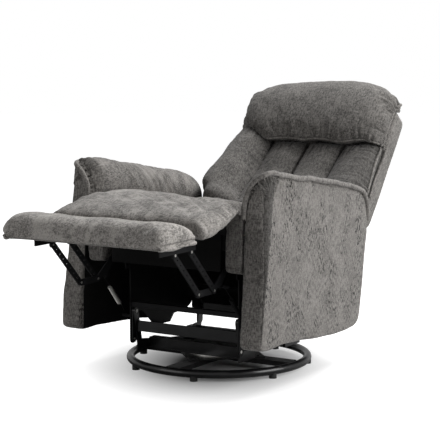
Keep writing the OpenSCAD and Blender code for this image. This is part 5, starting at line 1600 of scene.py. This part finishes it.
def channelled_cushion(sizes):
    """The back's cushion in four channels. Gives back the cushion and the seams between its channels."""
    u = np.linspace(-130, 256, 60)
    lines = [world(on_back(np.column_stack([s * (back_half(u) - 2), u, SHELL_DEEP - 2 + seam_height(u)])))
             for s in (-0.5, 0.0, 0.5)]
    head = world(on_back([(x, 246, 90) for x in np.linspace(-280, 280, 30)]))
    edges = [world(on_back([(s * 282, a, 68) for a in np.linspace(40, 246, 16)])) for s in (-1, 1)]

    def held(p):
        return np.maximum(sewn(p, [line[::3] for line in lines], 0.008), np.clip((0.68 - p[:, 2]) / 0.06, 0, 1))

    def detail(p):
        out = gathers(p, head, 0.050, 0.018, 0.0038, 71)
        for k, e in enumerate(edges):
            out += gathers(p, e, 0.045, 0.021, 0.0028, 72 + k)
        for k, line in enumerate(lines):
            out += seam(p, line, 0.0044, 3.0 * sizes.seam_depth) + gathers(p, line, 0.022, 0.027, 0.0011, 75 + k)
        return out + 0.0016 * ripple(p, 0.13, 79) + 0.0006 * ripple(p, 0.045, 80)

    cushion = stuffed("back_channels", world(back_rings()), held, 0.006, 2, 0.3 * sizes.loft, 0.03)
    push(cushion, detail)
    # Painted shade: the channels take a darker copy of the cloth.
    dress(cushion, "channel", "back", replaces=["back_cushion"])
    # Painted shade: the back's right outer channel takes a darker copy of the cloth.
    tint_faces(cushion, "channel_side", lambda c, n: c[:, 0] > 0.141)
    # Painted shadow: faces along the seams between the channels take a near-black copy of the cloth.
    tint_faces(cushion, "crease", lambda c, n: np.min([near_path(c, line)[0] for line in lines], axis=0) < 0.0056)
    return cushion, lines


def head_pillow(sizes):
    """The head pillow. Gives back the pillow, its two side seams and the seam along its foot."""
    side_seams = []
    for s in (-1, 1):
        low = pillow_low(s)
        path = [(283, low + 8, 72), (284, low + 30, 76), (285, 320, 80), (285, 360, 80), (285, 405, 74), (284, 432, 64),
                (283, 446, 48), (282, 444, 34)]
        side_seams.append(world(on_back(curve_through(np.array(path) * (s, 1, 1), 60))))
    x = np.linspace(-278, 278, 90)
    s = x / PILLOW_HALF
    foot = world(on_back(np.column_stack([x, pillow_low(s) + 1 + 1.5 * np.sin(x / 19),
                                          SHELL_DEEP + 60 * pillow_depth(s)])))

    def held(p):
        return np.maximum(sewn(p, [foot[::4]], 0.012), sewn(p, [line[::4] for line in side_seams], 0.01))

    pillow = stuffed("head_roll", world(pillow_rings()), held, 0.006, 3, 0.75 * sizes.loft, 0.035)
    side_seams = [laid(line, pillow) for line in side_seams]
    foot = laid(foot, pillow)

    def plump(p):
        out = gathers(p, foot, 0.040, 0.021, 0.0026, 81) + seam(p, foot, 0.005, 0.005)
        for k, line in enumerate(side_seams):
            out += gathers(p, line, 0.034, 0.016, 0.0042, 83 + k) + seam(p, line, 0.005, 0.004)
        return out + 0.0018 * ripple(p, 0.15, 87) + 0.0006 * ripple(p, 0.05, 88)

    push(pillow, plump)
    # Painted shade: the pillow takes a darker copy of the cloth.
    dress(pillow, "back", "back", replaces=["head_pillow"])
    return pillow, side_seams, foot


def back_piping(cushion, pillow, side_seams, foot):
    """The piping of the back's box, the pillow and the far outer channel, and the tabs at the pillow's corners."""
    u = np.linspace(60, 258, 40)
    outer = np.column_stack([288.5 + 2 * np.sin(u / 30), u, 61 + 2 * np.sin(u / 43)])
    inner = np.column_stack([283 + 0 * u, u, 76 + 9 * bulge((u - 160) / 105, 2) + 1.5 * np.sin(u / 27)])
    piping = []
    for s in (-1, 1):
        piping.append(world(on_back(outer * (s, 1, 1))))
        piping.append(laid(world(on_back(inner * (s, 1, 1))), cushion, 0.0025))
    welt("back_piping", piping, 0.0040, "back", waver=0.002, pucker=0.5, seed=5.0)
    welt("pillow_piping", [laid(line, pillow, 0.001) for line in side_seams], 0.0032, "back", waver=0.0012, seed=6.0)
    welt("pillow_foot_piping", [laid(foot, pillow, 0.0015)], 0.0036, "back", waver=0.003, seed=7.0)

    bolster = [(-283.5, a, SHELL_DEEP - 6 + seam_height(a) + 0.42 * np.interp(a, *BOLSTER_LEFT.T))
               for a in np.linspace(246, -40, 50)]
    bolster += [(-268, -66, 190), (-246, -84, 190), (-226, -96, 178)]
    welt("bolster_piping", [laid(world(on_back(bolster)), cushion, 0.001)], 0.0034, "back", "dark_welt", waver=0.002,
         seed=11.0)
    tip = np.array([(281, 440, 58), (287, 442, 62), (291, 438, 66), (289, 430, 70), (284, 422, 74)])
    ears = [world(curve_through(on_back(tip * (s, 1, 1)), 16)) for s in (-1, 1)]
    welt("pillow_ears", ears, 0.0045, "back", "dark_welt", waver=0.002, pucker=0.5, seed=9.0)


class RECLINER_OT_release(bpy.types.Operator):
    """Finishes the release handle, its housing and the cable."""

    bl_idname = "recliner.release"
    bl_label = "Release"

    def execute(self, context):
        repaint("black_plastic", "release_housing", "release_cable", "release_handle")
        return {"FINISHED"}


STEPS = ["stage", "base", "frame", "mechanism", "arms", "seat", "footrest", "back", "release"]


class RECLINER_PT_panel(bpy.types.Panel):
    """Lists the recliner's sizes, colours and building steps."""

    bl_label = "Recliner"
    bl_idname = "RECLINER_PT_panel"
    bl_space_type = "VIEW_3D"
    bl_region_type = "UI"
    bl_category = "Recliner"

    def draw(self, context):
        for group in (context.scene.recliner_sizes, context.scene.recliner_colours):
            for name in group.__annotations__:
                self.layout.prop(group, name)
        for step in STEPS:
            self.layout.operator(f"recliner.{step}")


CLASSES = [
    ReclinerSizes, ReclinerColours, RECLINER_OT_stage, RECLINER_OT_base, RECLINER_OT_frame, RECLINER_OT_mechanism,
    RECLINER_OT_arms, RECLINER_OT_seat, RECLINER_OT_footrest, RECLINER_OT_back, RECLINER_OT_release, RECLINER_PT_panel,
]


def register():
    for item in CLASSES:
        bpy.utils.register_class(item)
    bpy.types.Scene.recliner_sizes = bpy.props.PointerProperty(type=ReclinerSizes)
    bpy.types.Scene.recliner_colours = bpy.props.PointerProperty(type=ReclinerColours)


def unregister():
    del bpy.types.Scene.recliner_colours
    del bpy.types.Scene.recliner_sizes
    for item in reversed(CLASSES):
        bpy.utils.unregister_class(item)


def main():
    register()
    for step in STEPS:
        getattr(bpy.ops.recliner, step)()


if __name__ == "__main__":
    main()
